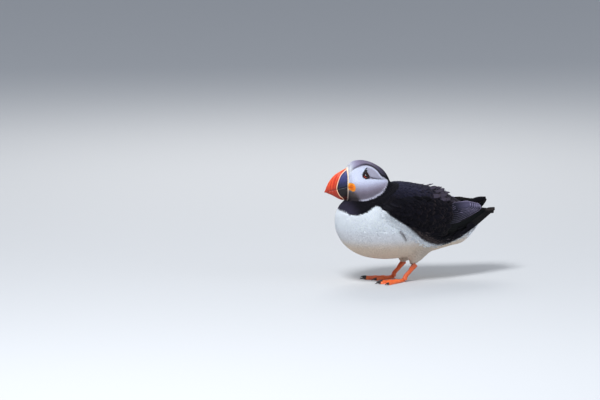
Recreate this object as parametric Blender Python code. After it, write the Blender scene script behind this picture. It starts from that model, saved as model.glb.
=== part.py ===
"""Atlantic puffin, standing, as a still life-size model in named solid pieces.

Row frame: metres, +Z up, the bird faces -Y and its left side is +X. The origin is on the floor, under
the middle of the whole model's box. Lengths below are in millimetres until MM scales them.

The flesh is one loft. Each station is a flat section through the bird: its dorsal and ventral points lie
on the side outline, and a superellipse joins them. The sections fan round the chin from the bill to the
nape, then round the upper back from the throat to the belly, and end at the tail. Head, neck, trunk and
tail are lengths of that loft, parted by flat gaps. Wings are blades laid on the trunk's own sides.
"""

import math

import bmesh
import bpy
import numpy as np
from mathutils import Vector

MM = 0.001
GAP = 0.3  # clearance between neighbouring solids

# Stations of the flesh: dorsal y and z, ventral y and z, half width, share of the height (from the
# ventral point) where the section is widest, and squareness (2 is an ellipse).
STATIONS = {
    "bill_base": (-57.4, 145.4, -57.0, 102.2, 8.8, 0.42, 2.0),
    "forehead": (-54.4, 149.2, -57.4, 101.8, 14.4, 0.42, 2.0),
    "lores": (-46.0, 151.2, -58.2, 101.4, 18.8, 0.43, 2.05),
    "eye": (-35.6, 150.2, -59.2, 101.0, 21.8, 0.43, 2.1),
    "rear_crown": (-25.0, 146.0, -60.4, 100.4, 23.8, 0.44, 2.1),
    "occiput": (-15.2, 139.2, -61.8, 99.8, 25.4, 0.45, 2.1),
    "nape": (-9.4, 131.0, -63.4, 98.8, 27.4, 0.46, 2.1),
    "collar": (-6.8, 125.2, -66.0, 96.5, 30.5, 0.48, 2.1),
    "throat": (-3.0, 121.6, -70.0, 91.0, 36.5, 0.50, 2.1),
    "shoulder": (2.4, 121.4, -73.2, 80.0, 42.5, 0.52, 2.1),
    "breast": (8.4, 121.6, -72.0, 64.0, 46.5, 0.53, 2.1),
    "keel": (15.0, 121.2, -62.5, 47.0, 48.0, 0.53, 2.1),
    "belly": (23.5, 119.8, -44.0, 34.5, 47.6, 0.52, 2.1),
    "loin": (34.0, 117.6, -20.0, 29.0, 45.4, 0.51, 2.1),
    "thigh": (46.0, 114.6, 6.0, 28.6, 41.8, 0.51, 2.1),
    "flank": (59.0, 110.2, 32.0, 31.0, 37.0, 0.52, 2.1),
    "vent": (72.0, 104.0, 55.0, 35.6, 31.0, 0.54, 2.1),
    "rump": (84.5, 96.4, 76.0, 39.6, 24.4, 0.57, 2.1),
    "undertail": (96.0, 91.0, 92.0, 42.6, 19.0, 0.60, 2.1),
    "tail_coverts": (105.5, 88.0, 103.5, 52.0, 16.8, 0.62, 2.1),
    "tail_base": (113.0, 85.8, 112.5, 63.5, 14.8, 0.64, 2.2),
    "tail_middle": (123.0, 83.2, 123.0, 72.4, 14.4, 0.60, 2.4),
    "tail_end": (132.0, 80.8, 132.2, 76.6, 12.4, 0.55, 2.4),
    "tail_tip": (136.6, 79.8, 136.6, 78.4, 8.6, 0.50, 2.4),
}
ORDER = list(STATIONS)
HEAD_ENDS_AT = ORDER.index("nape") + 0.55
NECK_ENDS_AT = ORDER.index("shoulder") + 0.35
TRUNK_ENDS_AT = ORDER.index("tail_base")

HEAD_TURN = math.radians(17)  # towards the bird's right
TURN_AXIS_Y = -30.0
TURN_FADES = (ORDER.index("nape") + 1, ORDER.index("breast") + 1)

# Bill, in the straight-ahead head: rows of y, culmen z, gape z, gonys z and half width, going forward.
RIM_BACK_Y = -57.8
RIM_FRONT_Y = -60.4
BILL = [
    (-60.7, 141.6, 119.0, 102.4, 7.0),
    (-65.0, 139.4, 118.0, 102.4, 6.2),
    (-69.4, 137.0, 116.9, 103.6, 5.4),
    (-74.0, 134.2, 115.8, 106.2, 4.5),
    (-78.4, 130.0, 114.7, 108.6, 3.7),
    (-82.2, 124.8, 113.7, 110.2, 2.9),
    (-84.8, 119.4, 112.9, 111.4, 2.1),
]
BILL_TIP = (-86.9, 114.0, 111.5, 111.5, 1.1)

EYE_SPOT = (-37.6, 134.6)  # y and z on the side of the straight-ahead head
EYE_RADIUS = 5.0
EYE_SINK = 3.8  # how far its centre lies inside the head's surface
ROSETTE_SPOT = (-54.2, 119.8)
ROSETTE_RADII = (2.6, 3.4, 4.2)
ROSETTE_SINK = 1.2

# Wing outlines in side view, (y, z). The top edge runs from the shoulder, the lower edge from the bend.
COVERT_TOP = [(-32, 101), (-12, 108.5), (14, 109.5), (42, 105), (66, 98)]
COVERT_LOW = [(-37, 97), (-27, 86.5), (-9, 76), (12, 65), (32, 55)]
SECONDARY_TOP = [(67.0, 97.8), (84, 96.4), (98, 95.8), (109, 92.6)]
SECONDARY_LOW = [(48.4, 68.6), (62, 71.2), (78, 73.2), (94, 77.0), (109.4, 87)]
PRIMARY_TOP = [(47.6, 67.8), (62, 70.4), (78, 72.4), (94, 76.2), (109, 83.4), (121, 85.8), (131.5, 84.6)]
PRIMARY_LOW = [(32.4, 54.6), (46, 47.6), (62, 47.6), (80, 53.4), (102, 65.6), (120, 76.2), (132, 81.6)]
WING_CLEARANCE = 1.0
RIGHT_TIP_RISE = 10.0  # the right wing is carried higher at its tip
RIGHT_TIP_BACK = 4.0
WING_TIP_X = 17.0

# Legs and feet. The left foot's toe joint, on the floor; the right foot is its mirror.
TOE_JOINT = (16.0, 6.5)
ANKLE_RISE = 19.0
ANKLE_BACK = 14.5
TOES = [(-24.0, 27.0), (0.0, 35.0), (22.0, 33.0)]  # inner, middle, outer: angle and length
FOOT_SPLAY = math.radians(8)
WEB_THICK = 1.3
TOE_HEIGHT = 4.4
TOE_HALF_WIDTH = 2.3
CLAW_LENGTH = 7.0
CLAW_RADIUS = 1.5

SIDES = {"left": 1, "right": -1}
FRAME = "puffin_frame"

COLOURS = {
    "face_feathers": ((0.62, 0.62, 0.66), 0.85),
    "black_feathers": ((0.016, 0.015, 0.018), 0.6),
    "white_feathers": ((0.82, 0.81, 0.80), 0.9),
    "wing_feathers": ((0.03, 0.027, 0.027), 0.55),
    "bill_red": ((0.75, 0.09, 0.03), 0.4),
    "bill_cream": ((0.80, 0.66, 0.47), 0.5),
    "rosette": ((0.86, 0.33, 0.02), 0.5),
    "eye": ((0.02, 0.012, 0.01), 0.08),
    "foot_orange": ((0.80, 0.13, 0.03), 0.45),
    "claw": ((0.03, 0.025, 0.025), 0.35),
}


def through(points, share):
    """Catmull-Rom curve through rows of numbers, read at shares from 0 to len(points) - 1."""
    rows = np.asarray(points, float)
    rows = np.vstack([2 * rows[0] - rows[1], rows, 2 * rows[-1] - rows[-2]])
    share = np.clip(np.asarray(share, float), 0, len(points) - 1)
    start = np.minimum(share.astype(int), len(points) - 2)
    t = (share - start)[..., None]
    a, b, c, d = (rows[start + k] for k in range(4))
    return 0.5 * (2 * b + (c - a) * t + (2 * a - 5 * b + 4 * c - d) * t**2 + (3 * b - a - 3 * c + d) * t**3)


def smooth_step(value, low, high):
    t = np.clip((value - low) / (high - low), 0, 1)
    return t * t * (3 - 2 * t)


def turned(points, weight=1.0):
    """Points of the straight-ahead head, turned about the upright axis through the neck."""
    angle = HEAD_TURN * weight
    x, y, z = points[..., 0], points[..., 1] - TURN_AXIS_Y, points[..., 2]
    cos, sin = np.cos(angle), np.sin(angle)
    return np.stack([x * cos + y * sin, y * cos - x * sin + TURN_AXIS_Y, z], -1)


def straight_section(share, count):
    """One flat ring of the straight-ahead bird: a superellipse between its dorsal and ventral points."""
    dy, dz, vy, vz, half, widest, square = through(list(STATIONS.values()), share)
    angle = 2 * math.pi * np.arange(count) / count
    power = 2 / square
    side = half * np.sign(np.cos(angle)) * np.abs(np.cos(angle)) ** power
    lift = np.sign(np.sin(angle)) * np.abs(np.sin(angle)) ** power
    up = widest + np.where(lift > 0, (1 - widest) * lift, widest * lift)
    return np.stack([side, vy + (dy - vy) * up, vz + (dz - vz) * up], -1)


def section(share, count):
    return turned(straight_section(share, count), 1 - smooth_step(share, *TURN_FADES))


def side_of(ring_of, start, end):
    """A function giving how far the flesh's side stands from the middle plane at points (y, z)."""
    skin = np.vstack([ring_of(share, 96) for share in np.linspace(start, end, 220)])
    skin = skin[skin[:, 0] >= 0]

    def half_width(points):
        apart = ((np.asarray(points)[:, None, :] - skin[None, :, 1:]) ** 2).sum(-1)
        weight = np.exp(-(apart - apart.min(1, keepdims=True)) / 2.0)
        return (weight * skin[:, 0]).sum(1) / weight.sum(1)

    return half_width


def flesh_rings(start, end, steps, count):
    """Rings from one share of the loft to another, with half a gap shaved off the two flat ends."""
    rings = [section(s, count) for s in np.linspace(start, end, steps)]
    for index, inward in ((0, 1), (-1, -1)):
        ring = rings[index]
        normal = np.cross(ring[0] - ring.mean(0), ring[count // 4] - ring.mean(0))
        toward = rings[inward].mean(0) - ring.mean(0) if index == 0 else rings[-2].mean(0) - ring.mean(0)
        normal *= np.sign(normal @ toward) / np.linalg.norm(normal)
        rings[index] = ring + normal * GAP / 2
    return np.array(rings)


def material(name):
    colour, roughness = COLOURS[name]
    made = bpy.data.materials.get(name)
    if made is None:
        made = bpy.data.materials.new(name)
        made.use_nodes = True
        shader = made.node_tree.nodes["Principled BSDF"]
        shader.inputs["Base Color"].default_value = (*colour, 1)
        shader.inputs["Roughness"].default_value = roughness
        made.diffuse_color = (*colour, 1)
    return made


def place(name, mesh, finish, collection, at=(0.0, 0.0, 0.0)):
    """Adds a mesh as a named object whose parent is the bird's frame."""
    obj = bpy.data.objects.new(name, mesh)
    mesh.materials.append(material(finish))
    collection.objects.link(obj)
    obj.parent = bpy.data.objects[FRAME]
    obj.location = Vector(at) * MM
    return obj


def loft(name, rings, finish, collection, smooth_angle=40):
    """A closed solid through rings of equal length, capped flat at both ends."""
    rings = np.asarray(rings) * MM
    steps, count = rings.shape[:2]
    body = bmesh.new()
    rows = [[body.verts.new(point) for point in ring] for ring in rings.tolist()]
    for low, high in zip(rows, rows[1:]):
        for k in range(count):
            body.faces.new((low[k], low[(k + 1) % count], high[(k + 1) % count], high[k]))
    body.faces.new(rows[0][::-1])
    body.faces.new(rows[-1])
    bmesh.ops.recalc_face_normals(body, faces=body.faces)
    mesh = bpy.data.meshes.new(name)
    body.to_mesh(mesh)
    body.free()
    mesh.shade_smooth()
    mesh.set_sharp_from_angle(angle=math.radians(smooth_angle))
    return place(name, mesh, finish, collection)


def ellipsoid(name, centre, radii, finish, collection, segments=16, rings=10):
    ball = bmesh.new()
    bmesh.ops.create_uvsphere(ball, u_segments=segments, v_segments=rings, radius=MM)
    bmesh.ops.scale(ball, vec=Vector(radii), verts=ball.verts)
    mesh = bpy.data.meshes.new(name)
    ball.to_mesh(mesh)
    ball.free()
    mesh.shade_smooth()
    return place(name, mesh, finish, collection, centre)


def cut(obj, cutter):
    """obj less the cutter, which stays as a hidden helper."""
    cutter.hide_render = True
    cutter.display_type = "WIRE"
    boolean = obj.modifiers.new(cutter.name, "BOOLEAN")
    boolean.operation = "DIFFERENCE"
    boolean.solver = "EXACT"
    boolean.object = cutter


def make_flesh(parts):
    """Head, neck, trunk and tail: four lengths of one loft."""
    head = loft("head", flesh_rings(0, HEAD_ENDS_AT, 15, 28), "face_feathers", parts)
    loft("neck", flesh_rings(HEAD_ENDS_AT, NECK_ENDS_AT, 6, 28), "black_feathers", parts)
    trunk = loft("trunk", flesh_rings(NECK_ENDS_AT, TRUNK_ENDS_AT, 25, 32), "white_feathers", parts)
    loft("tail", flesh_rings(TRUNK_ENDS_AT, len(ORDER) - 1, 7, 20), "black_feathers", parts)
    return head, trunk


def bill_ring(row, count, upper):
    """Half a bill section: an arch over the gape line for the upper mandible, or a keel under it."""
    y, culmen, gape, gonys, half = row
    angle = np.linspace(0, math.pi, count)
    height = (culmen - gape - GAP / 2) if upper else (gonys - gape + GAP / 2)
    start = gape + (GAP / 2 if upper else -GAP / 2)
    side = half * np.cos(angle) * np.abs(np.cos(angle)) ** 0.1
    return np.stack([side, np.full(count, y), start + height * np.sin(angle) ** 0.9], -1)


def make_bill(parts):
    """A fleshy rim at the base, then the two mandibles, meeting along the gape."""
    y, culmen, gape, gonys, half = BILL[0]
    rim = []
    for rim_y, swell in ((RIM_BACK_Y, 0.3), (RIM_BACK_Y - 0.9, 1.0), (RIM_FRONT_Y + 0.8, 0.9), (RIM_FRONT_Y, 0.1)):
        over = bill_ring((rim_y, culmen + swell, gape, gonys - swell, half + swell), 12, True)
        under = bill_ring((rim_y, culmen + swell, gape, gonys - swell, half + swell), 12, False)
        rim.append(np.vstack([over, under[::-1]]))
    loft("bill_rim", turned(np.array(rim)), "bill_cream", parts)
    shares = np.linspace(0, len(BILL) - 1, 13)
    for name, upper in (("bill_upper", True), ("bill_lower", False)):
        rings = [bill_ring(through(BILL, s), 11, upper) for s in shares]
        if upper:
            rings.append(bill_ring(BILL_TIP, 11, True))
        loft(name, turned(np.array(rings)), "bill_red", parts)


def make_face(parts, helpers, head):
    """Eyes and gape rosettes, each sunk into a socket of the head."""
    half_width = side_of(straight_section, 0, HEAD_ENDS_AT)
    eye_x, rosette_x = half_width([EYE_SPOT, ROSETTE_SPOT]) - (EYE_SINK, ROSETTE_SINK)
    for side, sign in SIDES.items():
        eye = turned(np.array([sign * eye_x, *EYE_SPOT]))
        ellipsoid(f"eye_{side}", eye, (EYE_RADIUS,) * 3, "eye", parts)
        cut(head, ellipsoid(f"socket_{side}", eye, (EYE_RADIUS + GAP,) * 3, "eye", helpers))
        rosette = turned(np.array([sign * rosette_x, *ROSETTE_SPOT]))
        ellipsoid(f"rosette_{side}", rosette, ROSETTE_RADII, "rosette", parts, 14, 8)
        room = [radius + GAP for radius in ROSETTE_RADII]
        cut(head, ellipsoid(f"rosette_seat_{side}", rosette, room, "rosette", helpers, 14, 8))


def blade(top, low, steps, across, thick, half_width, lift):
    """Rings of a wing blade: a thin lens laid on the trunk between its top and its lower edge."""
    share = np.linspace(0, 1, steps)
    upper = through(top, share * (len(top) - 1))
    lower = through(low, share * (len(low) - 1))
    q = np.linspace(0, 1, across)
    rings = []
    for k in range(steps):
        flat = upper[k] + (lower[k] - upper[k]) * q[:, None]
        flat += np.array(lift) * smooth_step(flat[:, :1], 78, 132)
        free = np.interp(flat[:, 0], (-40, 20, 70, 100, 132), (0, 20, 25, 22, WING_TIP_X))
        inner = np.maximum(half_width(flat) + WING_CLEARANCE, free)
        middle = np.interp(share[k], (0, 0.3, 0.7, 1), thick)
        depth = 0.8 + (middle - 0.8) * (1 - np.abs(2 * q - 1) ** 3)
        outer_side = np.stack([inner + depth, flat[:, 0], flat[:, 1]], -1)
        inner_side = np.stack([inner, flat[:, 0], flat[:, 1]], -1)
        rings.append(np.vstack([outer_side, inner_side[::-1]]))
    return np.array(rings)


def make_wings(parts):
    """Each folded wing in three blades: coverts, secondaries above and behind, primaries below them."""
    half_width = side_of(section, ORDER.index("collar"), TRUNK_ENDS_AT + 1.5)
    pieces = (
        ("coverts", COVERT_TOP, COVERT_LOW, 11, 8, (1.6, 4.0, 4.6, 4.0)),
        ("secondaries", SECONDARY_TOP, SECONDARY_LOW, 8, 7, (4.0, 3.6, 2.6, 1.4)),
        ("primaries", PRIMARY_TOP, PRIMARY_LOW, 12, 7, (4.0, 3.6, 2.6, 1.2)),
    )
    for side, sign in SIDES.items():
        lift = (RIGHT_TIP_BACK, RIGHT_TIP_RISE) if side == "right" else (0.0, 0.0)
        for name, top, low, steps, across, thick in pieces:
            rings = blade(top, low, steps, across, thick, half_width, lift)
            loft(f"wing_{side}_{name}", rings * (sign, 1, 1), "wing_feathers", parts)


def tube_rings(path, radii, count):
    """Elliptical rings square to a path that stays in an upright plane: radii are (sideways, in plane)."""
    path = np.asarray(path, float)
    run = np.gradient(path, axis=0)
    run /= np.linalg.norm(run, axis=1, keepdims=True)
    across = np.cross(run, (0, 0, 1.0))
    across /= np.linalg.norm(across, axis=1, keepdims=True)
    out = np.cross(across, run)
    angle = 2 * math.pi * np.arange(count) / count
    radii = np.asarray(radii, float)
    return (
        path[:, None]
        + across[:, None] * (radii[:, :1] * np.cos(angle))[..., None]
        + out[:, None] * (radii[:, 1:] * np.sin(angle))[..., None]
    )


def foot_frame(sign):
    """(toe joint, forward, sideways) of one foot on the floor, sideways pointing away from the body."""
    joint = np.array([sign * TOE_JOINT[0], TOE_JOINT[1], 0.0])
    forward = np.array([sign * math.sin(FOOT_SPLAY), -math.cos(FOOT_SPLAY), 0.0])
    return joint, forward, np.array([-forward[1] * sign, forward[0] * sign, 0.0])


def toe_direction(angle, forward, outward):
    return forward * math.cos(angle) + outward * math.sin(angle)


def foot_rings(sign):
    """Slices of a webbed foot, fanned round the toe joint: flat below, with a ridge along each toe."""
    joint, forward, outward = foot_frame(sign)
    angles = np.radians([toe[0] for toe in TOES])
    lengths = [toe[1] for toe in TOES]
    edge = math.radians(4)
    sweep = np.linspace(angles[0] - edge, angles[-1] + edge, 21)
    reach = np.interp(sweep, angles, lengths)
    apart = np.abs(sweep[:, None] - angles).min(1)
    reach = reach * (1 - 0.16 * np.clip(apart / math.radians(11), 0, 1) ** 0.8)
    share = np.linspace(0, 1, 7)
    start = -3.5
    rings = []
    for angle, end in zip(sweep, reach):
        along = start + (end - start) * share
        off = np.abs(angle - angles)[:, None] * np.maximum(along, 3.0)[None, :]
        ridge = np.exp(-((off / TOE_HALF_WIDTH) ** 2)).max(0)
        heel = np.exp(-np.maximum(along, 0) / 4.0)
        height = WEB_THICK + (TOE_HEIGHT * (1 - 0.35 * share) - WEB_THICK) * np.maximum(ridge, heel)
        fanned = outward * (angle * 6.0 * (1 - share) * np.clip((along - start) / 8.0, 0.55, 1.0))[:, None]
        base = joint + toe_direction(angle, forward, outward) * along[:, None] + fanned
        top = base + np.array([0, 0, 1.0]) * height[:, None]
        rings.append(np.vstack([top, base[::-1]]))
    return np.array(rings)


def claw_rings(sign, angle, length):
    """A curved, tapering claw that leaves the toe's end and comes down to the floor."""
    joint, forward, outward = foot_frame(sign)
    direction = toe_direction(angle, forward, outward)
    share = np.linspace(0, 1, 6)
    path = joint + direction * (length + GAP + CLAW_LENGTH * share)[:, None]
    path[:, 2] = 1.75 + 0.9 * np.sin(math.pi * share * 0.8) - 1.6 * share**1.6
    radius = CLAW_RADIUS * (1 - 0.86 * share)
    return tube_rings(path, np.stack([radius * 0.8, radius], -1), 8)


def make_legs(parts, helpers, trunk):
    """Feathered thigh, scaly shank, webbed foot and claws on each side."""
    for side, sign in SIDES.items():
        joint, forward, outward = foot_frame(sign)
        ankle = joint + np.array([0.0, ANKLE_BACK, ANKLE_RISE])
        shank = [
            ankle + (0, 1.0, 0.6),
            ankle + (0, -3.0, -3.4),
            joint + (0, 8.6, 12.0),
            joint + (0, 3.6, 7.2),
            joint + (0, 2.0, TOE_HEIGHT + 0.6),
        ]
        shank = through(shank, np.linspace(0, len(shank) - 1, 8))
        radii = through([(2.9, 3.4), (2.5, 3.0), (2.0, 2.5), (2.3, 2.6), (2.7, 2.6)], np.linspace(0, 4, 8))
        rings = tube_rings(shank, radii, 10)
        rings[-1, :, 2] = TOE_HEIGHT + 0.4
        loft(f"shank_{side}", rings, "foot_orange", parts)
        hip = ankle + (sign * 3.0, 13.0, 23.0)
        thigh = through([ankle + (0, 2.4, 1.8), ankle + (0, 8.4, 8.0), hip], np.linspace(0, 2, 6))
        radii = through([(4.2, 4.4), (8.0, 9.0), (11.0, 13.0)], np.linspace(0, 2, 6))
        loft(f"thigh_{side}", tube_rings(thigh, radii, 16), "white_feathers", parts)
        seat = thigh.copy()
        seat[0] -= (thigh[1] - thigh[0]) * 0.15
        seat[-1] += (thigh[-1] - thigh[-2]) * 0.15
        rings = tube_rings(seat, radii + 1.5 * GAP, 16)
        cut(trunk, loft(f"thigh_seat_{side}", rings, "white_feathers", helpers))
        loft(f"foot_{side}", foot_rings(sign), "foot_orange", parts)
        for toe, (angle, length) in zip(("inner", "middle", "outer"), TOES):
            loft(f"claw_{side}_{toe}", claw_rings(sign, math.radians(angle), length), "claw", parts)


def centre_on_base(parts):
    """Moves the bird's frame so that the middle of the model's box stands over the origin, on the floor."""
    bpy.context.view_layer.update()
    corners = np.array([
        list(obj.matrix_world @ vertex.co)
        for obj in parts.objects
        if obj.type == "MESH"
        for vertex in obj.data.vertices
    ])
    low, high = corners.min(0), corners.max(0)
    bpy.data.objects[FRAME].location = (-(low[0] + high[0]) / 2, -(low[1] + high[1]) / 2, -low[2])


def main():
    for obj in list(bpy.data.objects):
        bpy.data.objects.remove(obj)
    parts = bpy.data.collections.new("atlantic_puffin")
    helpers = bpy.data.collections.new("cutters")
    for collection in (parts, helpers):
        bpy.context.scene.collection.children.link(collection)
    parts.objects.link(bpy.data.objects.new(FRAME, None))
    head, trunk = make_flesh(parts)
    make_bill(parts)
    make_face(parts, helpers, head)
    make_wings(parts)
    make_legs(parts, helpers, trunk)
    centre_on_base(parts)


main()
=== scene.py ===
"""Looks for the standing Atlantic puffin: skin, plumage, wings, tail, bill, eyes, legs and feet.

Lengths are in millimetres in the bird's own frame, where it faces -Y with its left side at +X. FRAME_SHIFT
carries them to the model's frame and MM to metres. The head is shaped looking straight ahead, then turned.
A flat point is a (y, z) place on the straight-ahead bird's side. A place on the body is a share, which counts
its sections from bill to tail, and an angle round the section. Colours are linear red, green and blue.
"""

import math

import bpy
import numpy as np
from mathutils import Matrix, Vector


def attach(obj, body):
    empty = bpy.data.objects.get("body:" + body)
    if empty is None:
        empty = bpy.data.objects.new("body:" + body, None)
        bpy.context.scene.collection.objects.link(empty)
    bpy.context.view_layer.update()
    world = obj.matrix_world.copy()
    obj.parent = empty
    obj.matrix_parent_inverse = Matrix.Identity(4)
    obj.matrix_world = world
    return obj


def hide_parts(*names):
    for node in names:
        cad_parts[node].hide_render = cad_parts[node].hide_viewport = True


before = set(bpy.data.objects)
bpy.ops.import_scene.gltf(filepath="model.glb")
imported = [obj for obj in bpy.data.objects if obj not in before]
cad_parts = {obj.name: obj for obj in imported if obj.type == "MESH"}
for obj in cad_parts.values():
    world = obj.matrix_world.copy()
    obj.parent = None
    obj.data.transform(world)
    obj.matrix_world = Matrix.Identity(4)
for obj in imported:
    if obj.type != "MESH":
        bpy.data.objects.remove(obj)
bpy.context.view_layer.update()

MM = 0.001
FRAME_SHIFT = np.array([0.0, -25.8573, 0.0])
SIDES = (("left", 1), ("right", -1))

# ---------------------------------------------------------------- the body's own sizes

# Sections from bill to tail: dorsal y, z, ventral y, z, half width, where it is widest, squareness.
STATIONS = np.array([
    (-57.4, 145.4, -57.0, 102.2, 8.8, 0.42, 2.0),
    (-54.4, 149.2, -57.4, 101.8, 14.4, 0.42, 2.0),
    (-46.0, 151.2, -58.2, 101.4, 18.8, 0.43, 2.05),
    (-35.6, 150.2, -59.2, 101.0, 21.8, 0.43, 2.1),
    (-25.0, 146.0, -60.4, 100.4, 23.8, 0.44, 2.1),
    (-15.2, 139.2, -61.8, 99.8, 25.4, 0.45, 2.1),
    (-9.4, 131.0, -63.4, 98.8, 27.4, 0.46, 2.1),
    (-6.8, 125.2, -66.0, 96.5, 30.5, 0.48, 2.1),
    (-3.0, 121.6, -70.0, 91.0, 36.5, 0.50, 2.1),
    (2.4, 121.4, -73.2, 80.0, 42.5, 0.52, 2.1),
    (8.4, 121.6, -72.0, 64.0, 46.5, 0.53, 2.1),
    (15.0, 121.2, -62.5, 47.0, 48.0, 0.53, 2.1),
    (23.5, 119.8, -44.0, 34.5, 47.6, 0.52, 2.1),
    (34.0, 117.6, -20.0, 29.0, 45.4, 0.51, 2.1),
    (46.0, 114.6, 6.0, 28.6, 41.8, 0.51, 2.1),
    (59.0, 110.2, 32.0, 31.0, 37.0, 0.52, 2.1),
    (72.0, 104.0, 55.0, 35.6, 31.0, 0.54, 2.1),
    (84.5, 96.4, 76.0, 39.6, 24.4, 0.57, 2.1),
    (96.0, 91.0, 92.0, 42.6, 19.0, 0.60, 2.1),
    (105.5, 88.0, 103.5, 52.0, 16.8, 0.62, 2.1),
    (113.0, 85.8, 112.5, 63.5, 14.8, 0.64, 2.2),
])
LAST = len(STATIONS) - 1
NAPE, SHOULDER, KEEL, VENT = 6, 9, 11, 16
HEAD_END = NAPE + 2.2

HEAD_TURN = math.radians(17)
TURN_AXIS_Y = -30.0
TURN_FADES = (NAPE + 1, SHOULDER + 2)

EYE_SPOT = np.array([-38.4, 135.0])
ROSETTE_SPOT = np.array([-55.6, 119.9])
ANKLE = np.array([16.0, 21.0, 19.0])
HIP = np.array([18.5, 30.0, 31.0])
TOE_JOINT = np.array([16.0, 6.5, 0.0])
FOOT_SPLAY = math.radians(8)
TOES = ((-24.0, 27.0, "inner"), (0.0, 35.0, "middle"), (22.0, 33.0, "outer"))  # angle, length, name

# Edges of the markings, as flat points.
FACE_EDGE = np.array([
    (-61.0, 130.0), (-58.6, 134.4), (-56.2, 137.6), (-53.2, 140.8), (-49.1, 143.2), (-43.6, 145.3), (-40.3, 146.0),
    (-36.6, 146.0), (-32.9, 145.0), (-29.2, 143.3), (-25.7, 141.0), (-22.3, 137.3), (-18.8, 132.5), (-14.8, 129.5),
    (-11.8, 127.6), (-10.6, 125.4), (-11.2, 122.5), (-13.9, 118.6), (-20.1, 114.0), (-27.5, 110.2), (-35.1, 107.0),
    (-42.7, 104.9), (-49.7, 103.9), (-55.8, 103.4), (-61.0, 103.6),
])
WHITE_EDGE = np.array([
    (-80.0, 90.8), (-73.0, 90.6), (-70.2, 90.3), (-66.7, 88.6), (-64.1, 87.0), (-61.1, 86.6), (-57.5, 87.6),
    (-53.5, 89.1), (-49.7, 90.6), (-44.9, 93.4), (-39.7, 97.0), (-35.9, 99.2), (-34.0, 99.4), (-32.6, 98.5),
    (-31.9, 95.8), (-29.9, 92.4), (-26.5, 87.8), (-21.5, 84.6), (-16.3, 81.6), (-10.0, 77.6), (-3.2, 72.9),
    (9.4, 63.8), (16.3, 58.0), (23.5, 53.5), (32.1, 49.5), (46.4, 46.0), (58.3, 47.9), (70.9, 49.2),
    (82.8, 52.7), (94.8, 57.2), (103.6, 63.4), (113.0, 71.0), (125.0, 60.0), (100.0, 10.0), (-80.0, 10.0),
])
EYE_SKIN_EDGE = np.array([
    (-36.0, 143.8), (-38.2, 142.3), (-39.8, 140.4), (-41.4, 138.2), (-42.7, 135.9), (-42.7, 133.6), (-41.6, 131.9),
    (-39.6, 130.9), (-36.6, 131.1), (-34.2, 131.9), (-35.4, 134.5), (-36.4, 137.2), (-37.0, 139.8), (-36.5, 141.9),
])
EYE_PLATE_EDGE = np.array([
    (-36.2, 143.2), (-38.2, 141.6), (-39.9, 139.4), (-41.4, 137.4), (-39.8, 137.7), (-38.2, 138.0), (-37.0, 137.6),
    (-36.3, 136.8), (-36.8, 139.0), (-36.6, 141.2),
])
FURROW = np.array([
    (-35.4, 133.4), (-33.5, 132.3), (-30.0, 131.2), (-25.5, 130.1), (-21.0, 129.4), (-15.5, 129.0), (-11.8, 128.6),
])
FLANK_STREAK = np.array([(-10.4, 66.6), (-6.0, 62.2), (-0.3, 55.6)])


# ---------------------------------------------------------------- curves and fields

def rows_through(rows, share):
    """Catmull-Rom curve through rows of numbers, read at shares from 0 to len(rows) - 1."""
    rows = np.asarray(rows, float)
    padded = np.vstack([2 * rows[0] - rows[1], rows, 2 * rows[-1] - rows[-2]])
    share = np.clip(np.asarray(share, float), 0, len(rows) - 1)
    start = np.minimum(share.astype(int), len(rows) - 2)
    t = (share - start)[..., None]
    a, b, c, d = (padded[start + k] for k in range(4))
    return 0.5 * (2 * b + (c - a) * t + (2 * a - 5 * b + 4 * c - d) * t**2 + (3 * b - a - 3 * c + d) * t**3)


def ramp(value, low, high):
    """0 below low, 1 above high, and a smooth cubic between them."""
    t = np.clip((np.asarray(value, float) - low) / (high - low), 0, 1)
    return t * t * (3 - 2 * t)


def fall(value, low, high):
    """1 below low, 0 above high, and a smooth cubic between them."""
    return 1 - ramp(value, low, high)


def bell(value, width=1.0, power=2):
    """1 where value is 0, and less the further it is from 0 in widths: e to minus that to the power."""
    return np.exp(-((np.abs(value) / width) ** power))


def spot(flat, centre, radii):
    """1 at a centre, and less the further a point is from it in radii."""
    return np.exp(-(((flat - centre) / radii) ** 2).sum(-1))


def unit(vectors):
    """Vectors over their own lengths."""
    return vectors / (np.linalg.norm(vectors, axis=-1, keepdims=True) + 1e-12)


def ring_angles(count):
    """Angles at equal steps once round a circle."""
    return 2 * math.pi * np.arange(count) / count


def every_pair(first, second):
    """All pairs of two lists of numbers, the second changing fastest, as two lists."""
    return [grid.ravel() for grid in np.meshgrid(first, second, indexing="ij")]


def spun(pairs, angle):
    """Plane vectors turned by an angle: first cos - second sin, first sin + second cos."""
    cos, sin = np.cos(angle), np.sin(angle)
    first, second = pairs[..., 0], pairs[..., 1]
    return np.stack([first * cos - second * sin, first * sin + second * cos], -1)


def turned(points, weight=1.0):
    """Straight-ahead points turned about the upright axis through the neck, by weight times the turn."""
    plan = spun(points[..., :2] - (0, TURN_AXIS_Y), -HEAD_TURN * weight) + (0, TURN_AXIS_Y)
    return np.concatenate([plan, points[..., 2:]], -1)


HEAD_FORWARD = turned(np.array([0.0, TURN_AXIS_Y - 1, 0.0])) - (0, TURN_AXIS_Y, 0)


def waves(points, scale, seed):
    """Smooth noise from -1 to 1: the mean of nine sine waves that run in seeded directions."""
    random = np.random.default_rng(seed)
    directions = unit(random.normal(size=(9, 3))) * random.uniform(0.6, 1.6, (9, 1)) * 2 * math.pi / scale
    phases = random.uniform(0, 2 * math.pi, 9)
    return np.sin(points @ directions.T + phases).mean(-1) * 1.7


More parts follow.
